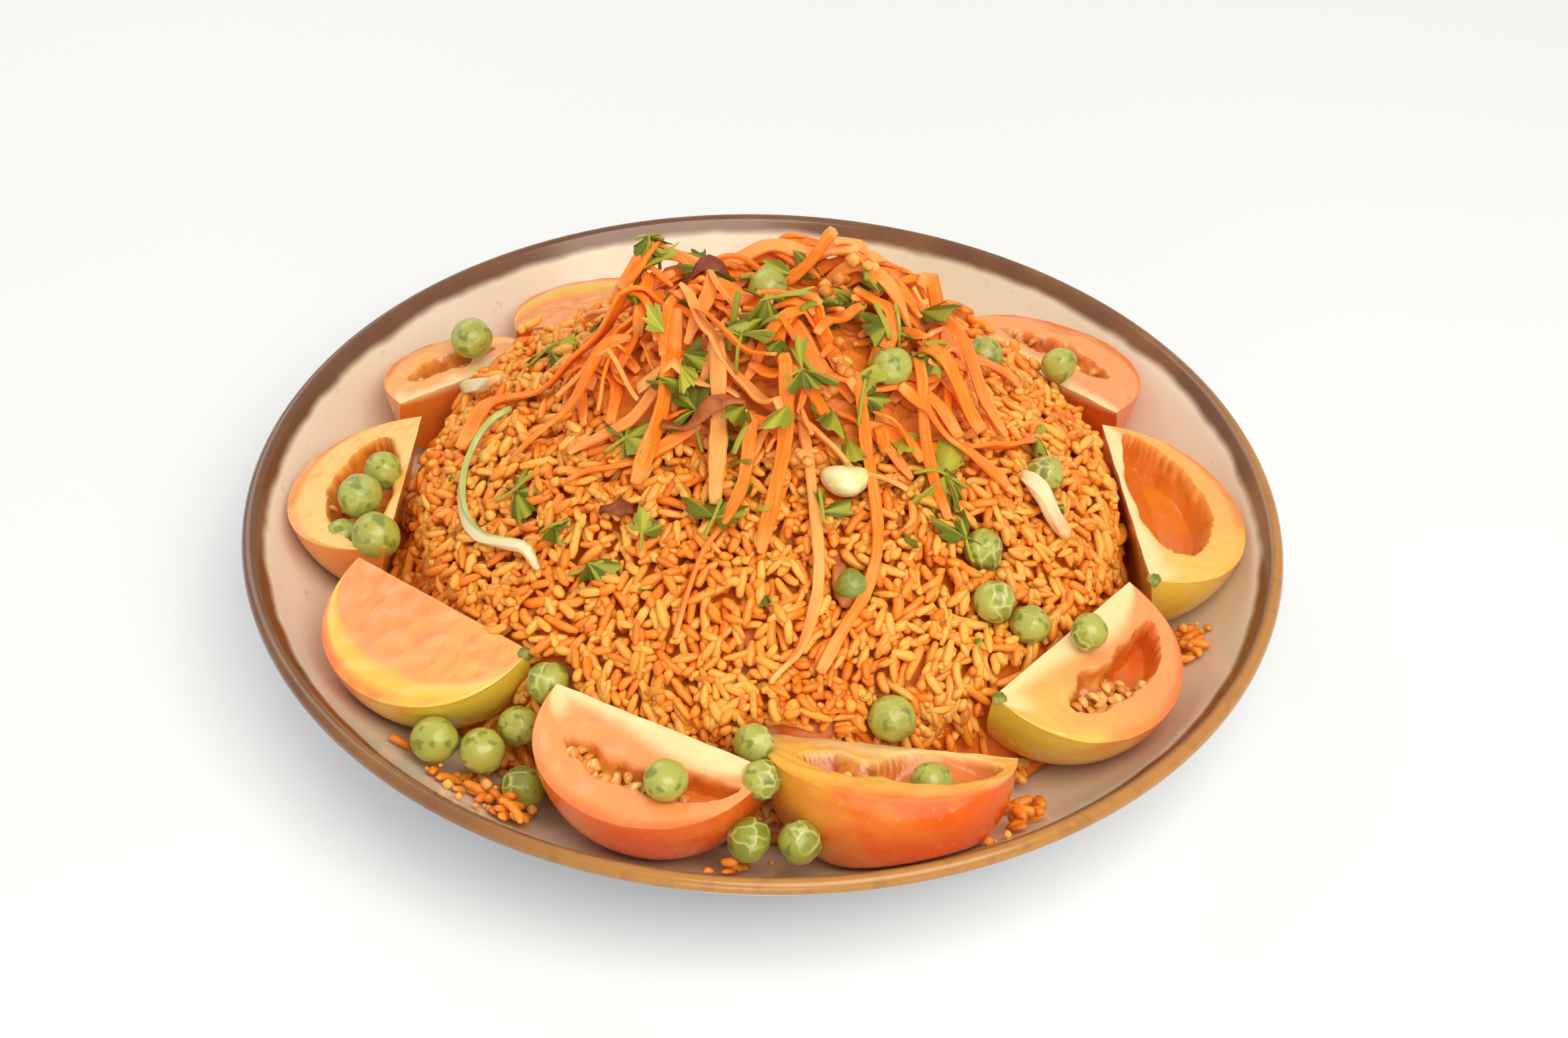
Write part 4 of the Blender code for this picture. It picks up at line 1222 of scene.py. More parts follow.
class RICEPLATE_OT_tomatoes(Operator):
    """Ten tomato wedges with seeds in their hollows"""

    bl_idname = "riceplate.tomatoes"
    bl_label = "Tomato wedges"

    def execute(self, context):
        """Build each wedge and gather the seeds."""
        settings = context.scene.riceplate_tomato
        finish = tomato_material(settings)
        seeds = Forms()
        draw = random.Random(11)
        for name in WEDGES:
            build_wedge(name, finish)
            add_seeds(name, seeds, draw)
        gel = crust_material("tomato_seed", settings.gel, settings.seed, 300.0, 0.5)
        seeds.piece("tomato_seeds", gel, "tomato")
        scars = Forms()
        girth = np.array((2.2, 3.4, 3.0, 1.2))
        for name, end in STEM_SCARS.items():
            core, along, out = wedge_axes(name)
            tip = core + along * end * (WEDGES[name][5] - 0.6) + out * 0.8
            path = np.array([tip + along * end * t - np.array(UP) * abs(t) for t in (-1.6, -0.6, 0.4, 1.2)])
            scars.add(*strand(path, girth, girth * 0.7, np.zeros(4)), 0.4)
        scar = crust_material("stem_scar", linear("6E7A20"), linear("C8C070"), 500.0)
        scars.piece("stem_scars", scar, "tomato")
        return {"FINISHED"}


def noise_at(points, size, shift):
    """Noise at points, each scaled and then shifted."""
    return np.array([noise.noise(Vector(point) * size + Vector(shift)) for point in points])


def unit_ball(name):
    """A ball of diameter 1 and its points, ready to be shaped."""
    bpy.ops.mesh.primitive_ico_sphere_add(subdivisions=5, radius=0.5)
    ball = bpy.context.object
    ball.name = name
    points = np.empty(len(ball.data.vertices) * 3)
    ball.data.vertices.foreach_get("co", points)
    return ball, points.reshape(-1, 3)


def finish_ball(ball, points, finish, slot, node_name, **values):
    """Give a ball its shape in millimetres, its material and what the material reads."""
    ball.data.vertices.foreach_set("co", (points * MILLIMETRE).ravel())
    for label, data in values.items():
        add_value(ball.data, label, data)
    ball.data.materials.append(finish)
    ball.data.shade_smooth()
    carry(ball, (node_name,))


def wrinkle(number, points, draw):
    """Reach of a pea's skin at points of a ball, its own sizes, and its dark patches, veins and tone."""
    cells = unit_rows(draw.normal(size=(26, 3)))
    warp = noise_at(points, 2.6, (3, number * 5, 9))
    bent = points + warp[:, None] * 0.22 * np.roll(points, 1, axis=1)
    apart = np.linalg.norm(bent[:, None, :] - cells[None, :, :], axis=2)
    nearest = apart.argmin(axis=1)
    apart.partition(1, axis=1)
    border = apart[:, 1] - apart[:, 0]
    shades = draw.uniform(0.25, 1.0, size=len(cells)) ** 1.3
    pole = draw.normal(size=3)
    pole /= np.linalg.norm(pole)
    netted = 1.0 if number in NETTED_PEAS or draw.uniform() > 0.7 else 0.25
    wrinkled = smoothstep((points @ pole + 0.5) / 0.8) * netted
    slow = noise_at(points, 1.6, (number * 7, 0, 0))
    sunk = smoothstep(border / 0.16) * wrinkled
    dimple = 0.07 * np.maximum(points @ -pole, 0) ** 8
    flat = 0.10 * smoothstep((points @ draw.normal(size=3) / 1.7 - 0.55) / 0.5)
    reach = 1 - 0.045 * sunk - dimple - flat + 0.05 * slow
    sizes = draw.uniform(0.93, 1.05, size=3)
    veins = (1 - smoothstep((border - 0.02) / 0.11)) * wrinkled
    blots = smoothstep((warp - 0.12) / 0.10) * smoothstep((slow + 0.1) / 0.2)
    patch = np.maximum(shades[nearest] * smoothstep(border / 0.24) * wrinkled, blots * 0.8)
    if number == BROWN_PEA:
        patch = np.maximum(patch, 0.7)
    # A low tone darkens these peas; on peas 13 and 14 it is painted shade
    tone = 0.1 if number in DARK_AND_SHADED_PEAS else draw.uniform(0.4, 1)
    return reach[:, None] * sizes, patch, veins, np.full(len(points), tone)


class RICEPLATE_OT_peas(Operator):
    """Dimpled peas and the pale bean"""

    bl_idname = "riceplate.peas"
    bl_label = "Peas and bean"

    def execute(self, context):
        """Add a ball for each pea and wrinkle it, and one for the bean."""
        finish = pea_material(context.scene.riceplate_topping)
        for number, (x, y, z, diameter) in enumerate(PEAS):
            pea, points = unit_ball(f"green_pea_{number + 1}")
            reach, patch, veins, tone = wrinkle(number, points * 2, np.random.RandomState(40 + number))
            finish_ball(pea, points * reach * diameter + np.array((x, y, z)), finish, "pea",
                        f"pea_{number + 1}", vein=veins, patch=patch, tone=tone)

        white = crust_material("bean_skin", linear("D8D88C"), linear("F2EEBE"), 260.0, 0.4)
        bean, points = unit_ball("white_bean")
        points = points * BEAN_SIZE
        points[:, 1] += 0.06 * points[:, 0] ** 2
        dent = np.maximum(0, 1 - np.linalg.norm(points - np.array((0.5, 3.2, 1)), axis=1) / 2.2)
        points *= (1 - 0.10 * dent ** 2)[:, None]
        finish_ball(bean, points + np.array(BEAN), white, "pale", "bean", tone=np.full(len(points), 0.6))
        return {"FINISHED"}


def heap_core(name, centre, reach, top, under, finish, node_name, rings, sides):
    """Core of a heap: a closed form between two height functions."""
    points = [(centre.x, centre.y, top(centre.x, centre.y))]
    shares = [(ring + 1) / rings for ring in range(rings)] + [1.0, 0.75, 0.5, 0.25]
    for ring, share in enumerate(shares, 1):
        height = top if ring <= rings else under
        stagger = 0.5 * (min(ring, rings) % 2)
        for i in range(sides):
            x, y = place_round(centre, reach.x * share, reach.y * share, TAU * (i + stagger) / sides)
            points.append((x, y, height(x, y)))
    last = 1 + (len(shares) - 1) * sides
    points.append((centre.x, centre.y, under(centre.x, centre.y)))
    after = [(i + 1) % sides for i in range(sides)]
    faces = [(0, 1 + i, 1 + after[i]) for i in range(sides)]
    for a in range(1, last, sides):
        b = a + sides
        faces += [(a + i, b + i, b + after[i], a + after[i]) for i in range(sides)]
    faces += [(last + i, len(points) - 1, last + after[i]) for i in range(sides)]
    # A low tone darkens each core: painted shade where it shows between the grains of rice and between the
    # carrot shreds
    values = {"tone": np.full(len(points), 0.2)}
    return new_piece(name, points, faces, finish, (node_name,), None, values)


def best_lie(ground, x, y, half, girth, draw):
    """Of a few headings, the one in which a grain comes to rest lowest: its base, heading and slope."""
    t = np.linspace(-0.85, 0.85, 7) * half
    offsets = np.array((-0.4, 0.0, 0.4))[:, None] * girth
    best = None
    for _ in range(4):
        heading = draw.uniform(0, TAU)
        dx, dy = math.cos(heading), math.sin(heading)
        below = ground.at(x + dx * t - dy * offsets, y + dy * t + dx * offsets).max(axis=0)
        if ground.blocked(below.max()):
            continue
        slope = max(-0.9, min(0.9, (below[4:].max() - below[:3].max()) / (1.2 * half)))
        rest = below - slope * t
        base = float(rest.max()) * 0.35 + float(rest.mean()) * 0.65
        if best is None or base < best[0]:
            best = (base, dx, dy, slope)
    return best


def grain(middle, way, half, girth, draw):
    """One knobbly, slightly bent grain."""
    bend = draw.uniform(-0.26, 0.26) * half * (2.2 if draw.random() > 0.85 else 1)
    share = np.array((-0.93, -0.55, 0.0, 0.55, 0.93))
    sideways = np.array((-way[1], way[0], 0.0)) / max(math.hypot(way[0], way[1]), 0.05)
    path = middle + way * (share * half)[:, None] + sideways * (bend * (1 - share ** 2))[:, None]
    path += np.array([draw.uniform(-0.12, 0.12) for _ in range(15)]).reshape(5, 3)
    profile = np.array((draw.uniform(0.5, 0.85), 0.95, 1.0, 0.95, draw.uniform(0.5, 0.85))) * girth
    profile *= np.array([draw.uniform(0.88, 1.10) for _ in range(5)])
    depths = profile * draw.uniform(0.78, 0.95)
    return strand(path, profile, depths, np.full(5, draw.uniform(-0.8, 0.8)), 6)


# Lines along a grain on which it raises the ground, as shares of its width from its middle
GRAIN_SIDES = np.array((-0.35, 0.0, 0.35))[:, None]


def pile_grains(forms, ground, length, width, draw):
    """Small piles of grains that slid down beside the wedges."""
    for cx, cy, spread, count in PILES:
        for _ in range(count * 4):
            x, y = cx + draw.gauss(0, spread * 0.5), cy + draw.gauss(0, spread * 0.5)
            half, girth = length / 2 * draw.uniform(0.4, 0.95), width * draw.uniform(0.8, 1.05)
            lie = best_lie(ground, x, y, half, girth, draw) if math.hypot(x, y) < 101 else None
            if lie is None or not clear_of_peas(x, y, lie[0] + girth * 0.4, half * 0.6):
                continue
            base, dx, dy, slope = lie
            way = np.array((dx, dy, slope)) / math.hypot(1, slope)
            middle = np.array((x, y, base + girth * 0.45))
            points, faces, along = grain(middle, way, half, girth, draw)
            forms.add(settle(points), faces, along, draw.uniform(0.0, 0.6))
            line = np.linspace(-0.9, 0.9, 9) * half
            ground.lift_under(x, y, (dx, dy), line, GRAIN_SIDES * girth,
                              middle[2] + way[2] * line + girth * 0.35)
            count -= 1
            if count == 0:
                break


def clear_of_peas(x, y, z, gap):
    """Whether a place keeps clear of the peas and the bean."""
    for px, py, pz, diameter in PEAS:
        if (x - px) ** 2 + (y - py) ** 2 + (z - pz) ** 2 < (diameter / 2 + gap) ** 2:
            return False
    return math.dist((x, y, z), BEAN) > 5 + gap


def fill_gaps(forms, ground, count, width, draw):
    """Drop broken grains and lumps into the low places that are left between whole grains."""
    side = ground.side
    from_heap = np.hypot(side[:, None] - MOUND_CENTRE.x, side[None, :] - MOUND_CENTRE.y)
    across = ((side[:, None] - NEST_CENTRE.x) / NEST_REACH.x) ** 2 + (
        (side[None, :] - NEST_CENTRE.y) / NEST_REACH.y) ** 2
    open_heap = (from_heap < MOUND_SHOULDER + 3) & (across > 0.75)
    left = count
    for _ in range(40):
        low = np.argwhere(open_heap & (ground.mound - ground.top > 0.3))
        if left <= 0 or len(low) < 50:
            break
        for _ in range(min(left, 150)):
            column, row = low[draw.randrange(len(low))]
            x, y = side[column] + draw.uniform(-0.25, 0.25), side[row] + draw.uniform(-0.25, 0.25)
            half, girth = draw.uniform(0.9, 3.2), width * draw.uniform(0.65, 1.05)
            heading = draw.uniform(0, TAU)
            dx, dy = math.cos(heading), math.sin(heading)
            line = np.linspace(-0.8, 0.8, 4) * half
            below = ground.at(x + dx * line, y + dy * line)
            if ground.blocked(below.max()):
                continue
            slope = max(-1.2, min(1.2, (below[3] - below[0]) / (1.6 * half)))
            z = float(below.mean()) + girth * 0.35
            if not clear_of_peas(x, y, z, half * 0.7):
                continue
            way = np.array((dx, dy, slope)) / math.hypot(1, slope)
            share = np.array((-0.9, -0.3, 0.35, 0.9))
            path = np.array((x, y, z)) + way * (share * half)[:, None]
            profile = np.array([draw.uniform(0.5, 0.8), draw.uniform(0.9, 1.1), draw.uniform(0.85, 1.1),
                                draw.uniform(0.5, 0.8)]) * girth
            leans = np.full(4, draw.uniform(-0.8, 0.8))
            forms.add(*strand(path, profile, profile * 0.9, leans, 5), draw.random())
            ground.lift_under(x, y, (dx, dy), line, GRAIN_SIDES * girth, z + way[2] * line + girth * 0.35)
            left -= 1


def lean_grains(forms, ground, count, length, width, draw):
    """Grains leaning on the steep foot of the heap, where no wedge covers it."""
    placed = 0
    for _ in range(count * 12):
        if placed == count:
            break
        angle = draw.uniform(0, TAU)
        out = MOUND_SHOULDER + (MOUND_FOOT - MOUND_SHOULDER) * draw.uniform(-0.7, 1.05)
        x, y = place_round(MOUND_CENTRE, out, out, angle)
        if out < MOUND_SHOULDER - 2 and not ground.blocked(ground.near(x, y, 2.5)):
            continue
        fall = mound_height(x + math.cos(angle) * 0.5, y + math.sin(angle) * 0.5) - mound_height(
            x - math.cos(angle) * 0.5, y - math.sin(angle) * 0.5)
        down = np.array((math.cos(angle), math.sin(angle), fall)) / math.hypot(1, fall)
        level = np.array((-math.sin(angle), math.cos(angle), 0))
        turn = draw.uniform(0, TAU)
        outward = np.cross(level, down)
        outward *= math.copysign(1, outward[2])
        middle = np.array((x, y, mound_height(x, y) + clumps(x, y) * 0.5))
        middle += outward * draw.uniform(-1.8, 0.4)
        half, girth = length / 2 * draw.uniform(0.35, 1.05), width * draw.uniform(0.8, 1.1)
        if out < MOUND_SHOULDER + 4:
            far = min(tree.find_nearest(Vector(middle))[3] for tree in ground.wedges)
            middle[2] += max(0, 7 - far) * draw.uniform(0, 1.2)
        way = down * math.cos(turn) + level * math.sin(turn)
        ends = [middle + way * half * share for share in (-0.9, 0, 0.9)]
        if not clear_of_peas(*middle, half * 0.6) or not ground.clear_of_wedges(ends, girth * 0.5):
            continue
        points, faces, along = grain(middle, way, half, girth, draw)
        forms.add(settle(points), faces, along, draw.random())
        placed += 1


def drop_grains(forms, ground, count, length, width, draw):
    """Drop grains one by one; each comes to rest on those below it."""
    peas = np.array([(x, y, z) for x, y, z, _ in PEAS] + [BEAN])
    sizes = np.array([size / 2 for *_, size in PEAS] + [5.0])
    placed = 0
    for turn in range(count * 5):
        if placed == count:
            break
        filling = turn > count * 2.6
        spots = []
        for _ in range(4 if filling else 2):
            distance = MOUND_FOOT * 1.02 * math.sqrt(draw.random())
            angle = draw.uniform(0, TAU)
            x, y = place_round(MOUND_CENTRE, distance, distance, angle)
            cell = ground.cells(x, y)
            spots.append((float(ground.mound[cell] - ground.top[cell]), x, y))
        depth, x, y = max(spots)
        hidden = nest_height(x, y) - ground.mound[ground.cells(x, y)] > 8
        if depth < 0.8 - HEAP_TOP or hidden:
            continue
        whole = draw.random() > 0.25 and not filling
        half = length / 2 * (draw.uniform(0.78, 1.12) if whole else draw.uniform(0.28, 0.6))
        girth = width * draw.uniform(0.85, 1.1)
        lie = best_lie(ground, x, y, half, girth, draw)
        if lie is None:
            continue
        base, dx, dy, slope = lie
        if draw.random() > 0.12:
            slope += draw.uniform(-0.22, 0.22)
        else:
            slope += draw.choice((-1, 1)) * draw.uniform(0.5, 1.0)
        middle = np.array((x, y, base + girth * 0.42))
        way = np.array((dx, dy, slope)) * (1 / math.hypot(1, slope))
        spots = middle + way * (np.linspace(-0.85, 0.85, 5) * half)[:, None]
        above = spots[:, 2] + girth / 2 - ground.mound[ground.cells(spots[:, 0], spots[:, 1])]
        if above.max() > HEAP_TOP + 1.2:
            continue
        close = np.linalg.norm(spots[:, None, :] - peas[None, :, :], axis=2) - sizes[None, :]
        if close.min() < girth * 0.35:
            continue
        forms.add(*grain(middle, way, half, girth, draw), draw.random())
        line = np.linspace(-0.95, 0.95, 20) * half
        shift = np.linspace(-0.42, 0.42, 5)[:, None] * girth
        drop = girth / 2 * (1 - np.sqrt(1 - (shift / (girth * 0.5)) ** 2))
        ground.lift_under(x, y, (dx, dy), line, shift, middle[2] + way[2] * line + girth * 0.40 - drop)
        placed += 1
    return placed


ground = Ground()


class RICEPLATE_OT_rice(Operator):
    """Heap of rice: grains resting on each other over a core"""

    bl_idname = "riceplate.rice"
    bl_label = "Rice"

    def execute(self, context):
        """Make the core and drop the grains."""
        settings = context.scene.riceplate_rice
        ground.cover(WEDGES)

        def top(x, y):
            bumps = noise.noise(Vector((x, y, 0)) / 2.1) * 0.9 + noise.noise(Vector((x, y, 5)) / 0.9) * 0.4
            return mound_height(x, y) + clumps(x, y) - CORE_DEPTH + 0.4 + bumps

        def under(x, y):
            return float(plate_surface(math.hypot(x, y))) + CONTACT_GAP

        reach = Vector((MOUND_FOOT, MOUND_FOOT)) - Vector((0.4, 0.4))
        # The core is made darker than the grains: painted shade in the gaps between them
        shaded = rice_material("rice_core", settings, 0.2)
        heap_core("rice_core", MOUND_CENTRE, reach, top, under, shaded, "rice", 80, 240)
        length, width = settings.length / MILLIMETRE, settings.width / MILLIMETRE
        grains = Forms()
        placed = drop_grains(grains, ground, settings.count, length, width, random.Random(5))
        if placed < settings.count * 0.3:
            raise RuntimeError(f"only {placed} grains found room on the heap")
        finish = rice_material("rice_grain", settings)
        grains.piece("rice_grains", finish, "rice", ("rice",))
        bits = Forms()
        draw = random.Random(6)
        fill_gaps(bits, ground, settings.bits, width, draw)
        lean_grains(bits, ground, settings.leaning, length, width, draw)
        pile_grains(bits, ground, length, width, draw)
        bits.piece("rice_bits", finish, "rice")
        return {"FINISHED"}


def shred(forms, ground, bends, width, thickness, draw, pale=None, stiff=0.0):
    """Lay one flat shred over the bends, twisted and tapered at its ends."""
    path = lay(smooth_path(bends, 1.5), ground, thickness, width, stiff)
    count = len(path)
    t = np.linspace(0, 1, count)
    taper = draw.uniform(0.5, 0.9) + 0.4 * smoothstep(np.minimum(t, 1 - t) * count * 1.5 / 4)
    wave = 1 + 0.08 * np.sin(t * count * 0.6 + draw.uniform(0, 6)) + 0.05 * np.sin(t * count * 1.7)
    lean = draw.uniform(-0.7, 0.7)
    lean = lean + draw.uniform(0.2, 1.0) * np.sin(t * draw.uniform(2, 5) + draw.uniform(0, 6))
    tone = draw.random() if pale is None else pale
    widths = width * np.minimum(taper, 1.05) * wave
    forms.add(*strand(path, widths, np.full(count, thickness), lean, 8, 0.42), tone)


def wound_bends(draw):
    """Bends of a shred that winds round the sides and back of the nest."""
    angle = draw.uniform(-0.4, math.pi + 0.4)
    reach = draw.uniform(0.62, 1.0)
    sweep = draw.choice((-1, 1)) * draw.uniform(0.25, 0.5)
    bends = []
    for i in (-1, 0, 1):
        out = reach + draw.uniform(-0.16, 0.10)
        x, y = place_round(NEST_CENTRE, NEST_REACH.x * out, NEST_REACH.y * out, angle + sweep * i)
        bends.append((x, y, draw.uniform(0, 0.6)))
    return bends


def loose_bends(draw):
    """Bends of a short shred that lies anywhere on the nest."""
    angle = draw.uniform(0, TAU)
    reach = math.sqrt(draw.random()) * 0.92
    x, y = place_round(NEST_CENTRE, NEST_REACH.x * reach, NEST_REACH.y * reach, angle)
    heading = draw.gauss(0, 0.5) + draw.choice((0, math.pi))
    if draw.random() > 0.75:
        heading = draw.uniform(0, TAU)
    turn = draw.uniform(-0.6, 0.6)
    bends = []
    for i in range(draw.randint(2, 4)):
        bends.append((x, y, draw.uniform(0, 2.0) if i in (1, 2) else 0))
        heading += turn
        stride = draw.uniform(5, 9)
        x += stride * math.cos(heading)
        y += stride * math.sin(heading)
    return bends


class RICEPLATE_OT_nest(Operator):
    """Nest of carrot shreds on the heap, and the white shreds on the rice"""

    bl_idname = "riceplate.nest"
    bl_label = "Carrot nest"

    def execute(self, context):
        """Make the nest's core and lay the shreds."""
        settings = context.scene.riceplate_nest

        def under(x, y):
            return mound_height(x, y) + 0.5

        def top(x, y):
            bumps = noise.noise(Vector((x, y, 2)) / 3.0) * 1.4
            bumps -= abs(noise.noise(Vector((x / 7, y / 1.6, 4)))) * 2.4
            bumps -= abs(noise.noise(Vector(((x - y) / 1.8, (x + y) / 9, 9)))) * 1.6
            return max(nest_height(x, y) - NEST_THATCH + bumps, under(x, y) + 0.6)

        # The nest's core is a darker orange than the shreds: painted shade in the gaps between them
        shaded = crust_material("nest_core", linear("EC8420"), linear("FFA648"), 260.0)
        heap_core("nest_core", NEST_CENTRE, NEST_REACH * 0.93, top, under, shaded, "carrot_nest",
                  64, 200)
        low, high = NEST_CENTRE - NEST_REACH, NEST_CENTRE + NEST_REACH
        first, last = ground.cells(low.x, low.y), ground.cells(high.x, high.y)
        for column in range(first[0], last[0]):
            for row in range(first[1], last[1]):
                height = nest_height(ground.side[column], ground.side[row])
                if height > NEST_BASE + 2:
                    ground.top[column, row] = max(ground.top[column, row], height - NEST_THATCH)

        draw = random.Random(3)
        shreds = Forms()
        width, thickness = settings.width / MILLIMETRE, settings.thickness / MILLIMETRE
        for _ in range(settings.under):
            bends = wound_bends(draw)
            across, deep = width * draw.uniform(0.6, 1.05), thickness * draw.uniform(0.7, 1.1)
            shred(shreds, ground, bends, across, deep, draw, None, 0.1)
        order = [None] * settings.loose
        for number in range(len(SHREDS)):
            order.insert(draw.randrange(settings.loose // 2, len(order)), number)
        in_sight = [spot[:2] for spot in (PEAS[22], PEAS[23], BEAN)]
        for number in order:
            if number is not None:
                across = width * (0.8 + 0.12 * (number % 5))
                shred(shreds, ground, SHREDS[number], across, thickness * 1.1, draw)
                continue
            bends = loose_bends(draw)
            if min(math.dist(bend[:2], spot) for spot in in_sight for bend in bends) < 7.5:
                continue
            across, deep = width * draw.uniform(0.4, 1.05), thickness * draw.uniform(0.7, 1.1)
            shred(shreds, ground, bends, across, deep, draw, None, draw.uniform(0.1, 0.6))
        shreds.piece("carrot_shreds", carrot_material(settings), "carrot", ("carrot_nest",), 55)

        white = white_material(settings)
        for name, (bends, across, deep) in WHITE_SHREDS.items():
            single = Forms()
            shred(single, ground, bends, across, deep, draw, 1.0 if name.endswith("left") else 0.0)
            single.piece(name.replace("white_shred", "pale_shred"), white, "pale", (name,), 55)
        return {"FINISHED"}


def leaflet(draw, base, size, heading, tilt, bank):
    """A fan-shaped, lobed and toothed coriander leaflet: a thin wavy closed form."""
    spokes, rings, leaf_thickness = 33, 4, 0.22
    angle = np.linspace(-draw.uniform(0.35, 1.3), draw.uniform(0.35, 1.3), spokes)
    phase, curl = draw.uniform(0, 6), draw.uniform(-0.1, 0.5)
    lobes = np.abs(np.cos(2.0 * angle + 0.5 * math.sin(phase))) ** 0.7
    uneven = 1 + 0.22 * np.sin(3 * angle + phase) + 0.10 * np.sin(17 * angle + phase)
    uneven = uneven + 0.06 * np.sin(29 * angle)
    reach = size * (0.5 + 0.5 * lobes) * uneven * (1 - 0.12 * angle ** 2)
    layers = []
    for sink in (0, leaf_thickness):
        layer = [np.array([(0, 0, -sink)])]
        for ring in range(1, rings + 1):
            out = ring / rings
            wave = size * (0.11 * np.sin(2.6 * angle + phase) * out - curl * out ** 2
                           + 0.05 * np.cos(6 * angle) * out + 0.03 * np.sin(9 * angle + phase) * out ** 2)
            x, y = reach * out * np.cos(angle), reach * out * np.sin(angle)
            layer.append(np.column_stack((x, y, wave - sink)))
        layers.append(np.concatenate(layer))
    turned = Matrix.Rotation(heading, 3, "Z") @ Matrix.Rotation(tilt, 3, "X")
    turned = turned @ Matrix.Rotation(bank, 3, "Y")
    points = np.concatenate(layers) @ np.array(turned).T + np.array(base)
    low = len(layers[0])
    faces = []
    for j in range(spokes - 1):
        faces.append((0, 1 + j, 2 + j))
        faces.append((low, low + 2 + j, low + 1 + j))
        for ring in range(rings - 1):
            a = 1 + ring * spokes + j
            faces.append((a, a + spokes, a + spokes + 1, a + 1))
            faces.append((low + a, low + a + 1, low + a + spokes + 1, low + a + spokes))
    edge = [0] + [1 + ring * spokes for ring in range(rings - 1)]
    edge += [1 + (rings - 1) * spokes + j for j in range(spokes)]
    edge += [ring * spokes for ring in range(rings - 1, 0, -1)]
    for first, second in zip(edge, edge[1:] + edge[:1]):
        faces.append((first, low + first, low + second, second))
    vein = np.concatenate(([0.0], *[1 - lobes * 0.98 for _ in range(rings)]))
    out = np.concatenate(([0.0], *[np.full(spokes, ring / rings) for ring in range(1, rings + 1)]))
    along = np.column_stack((out, vein))
    return points, faces, np.concatenate((along, along))


def stem(leaves, path, girth, flatness, sides, squareness, tone):
    """Add one stem of even girth along a path."""
    girth = np.full(len(path), girth)
    leaves.add(*strand(path, girth, girth * flatness, np.zeros(len(path)), sides, squareness), tone)


def sprig(leaves, x, y, size, heading, draw):
    """A coriander leaf of two or three leaflets on its stem."""
    for part in range(3 if size > 8 else 2):
        turn = heading + (part - 1) * 1.3
        reach = size * draw.uniform(0.6, 0.8)
        tip = float(ground.near(x + math.cos(turn) * reach, y + math.sin(turn) * reach, 1.5))
        start = float(ground.near(x, y, 1.5)) + 0.9
        bank = -math.atan2(max(-5, min(5, tip + 1.5 - start)), reach) + draw.uniform(-0.2, 0.2)
        leaves.add(*leaflet(draw, (x, y, start), reach, turn, draw.uniform(-0.5, 0.5), bank), draw.random())
    dx, dy = math.cos(heading) * size, math.sin(heading) * size
    bends = [(x - dx * 0.5, y - dy * 0.5, 0.6), (x, y, 0.9), (x + dx * 0.4, y + dy * 0.4, 0.9)]
    stem(leaves, lay(smooth_path(bends, 1.2), ground, 0.7, 0.8), 0.8, 1.0, 6, 1.0, 0.95)


def loose_leaf(leaves, x, y, height, sizes, tilt, bank, draw):
    """One leaflet by itself, turned at random."""
    leaves.add(*leaflet(draw, (x, y, height), draw.uniform(*sizes), draw.uniform(0, TAU),
                        draw.uniform(-tilt, tilt), draw.uniform(-bank, bank)), draw.random())


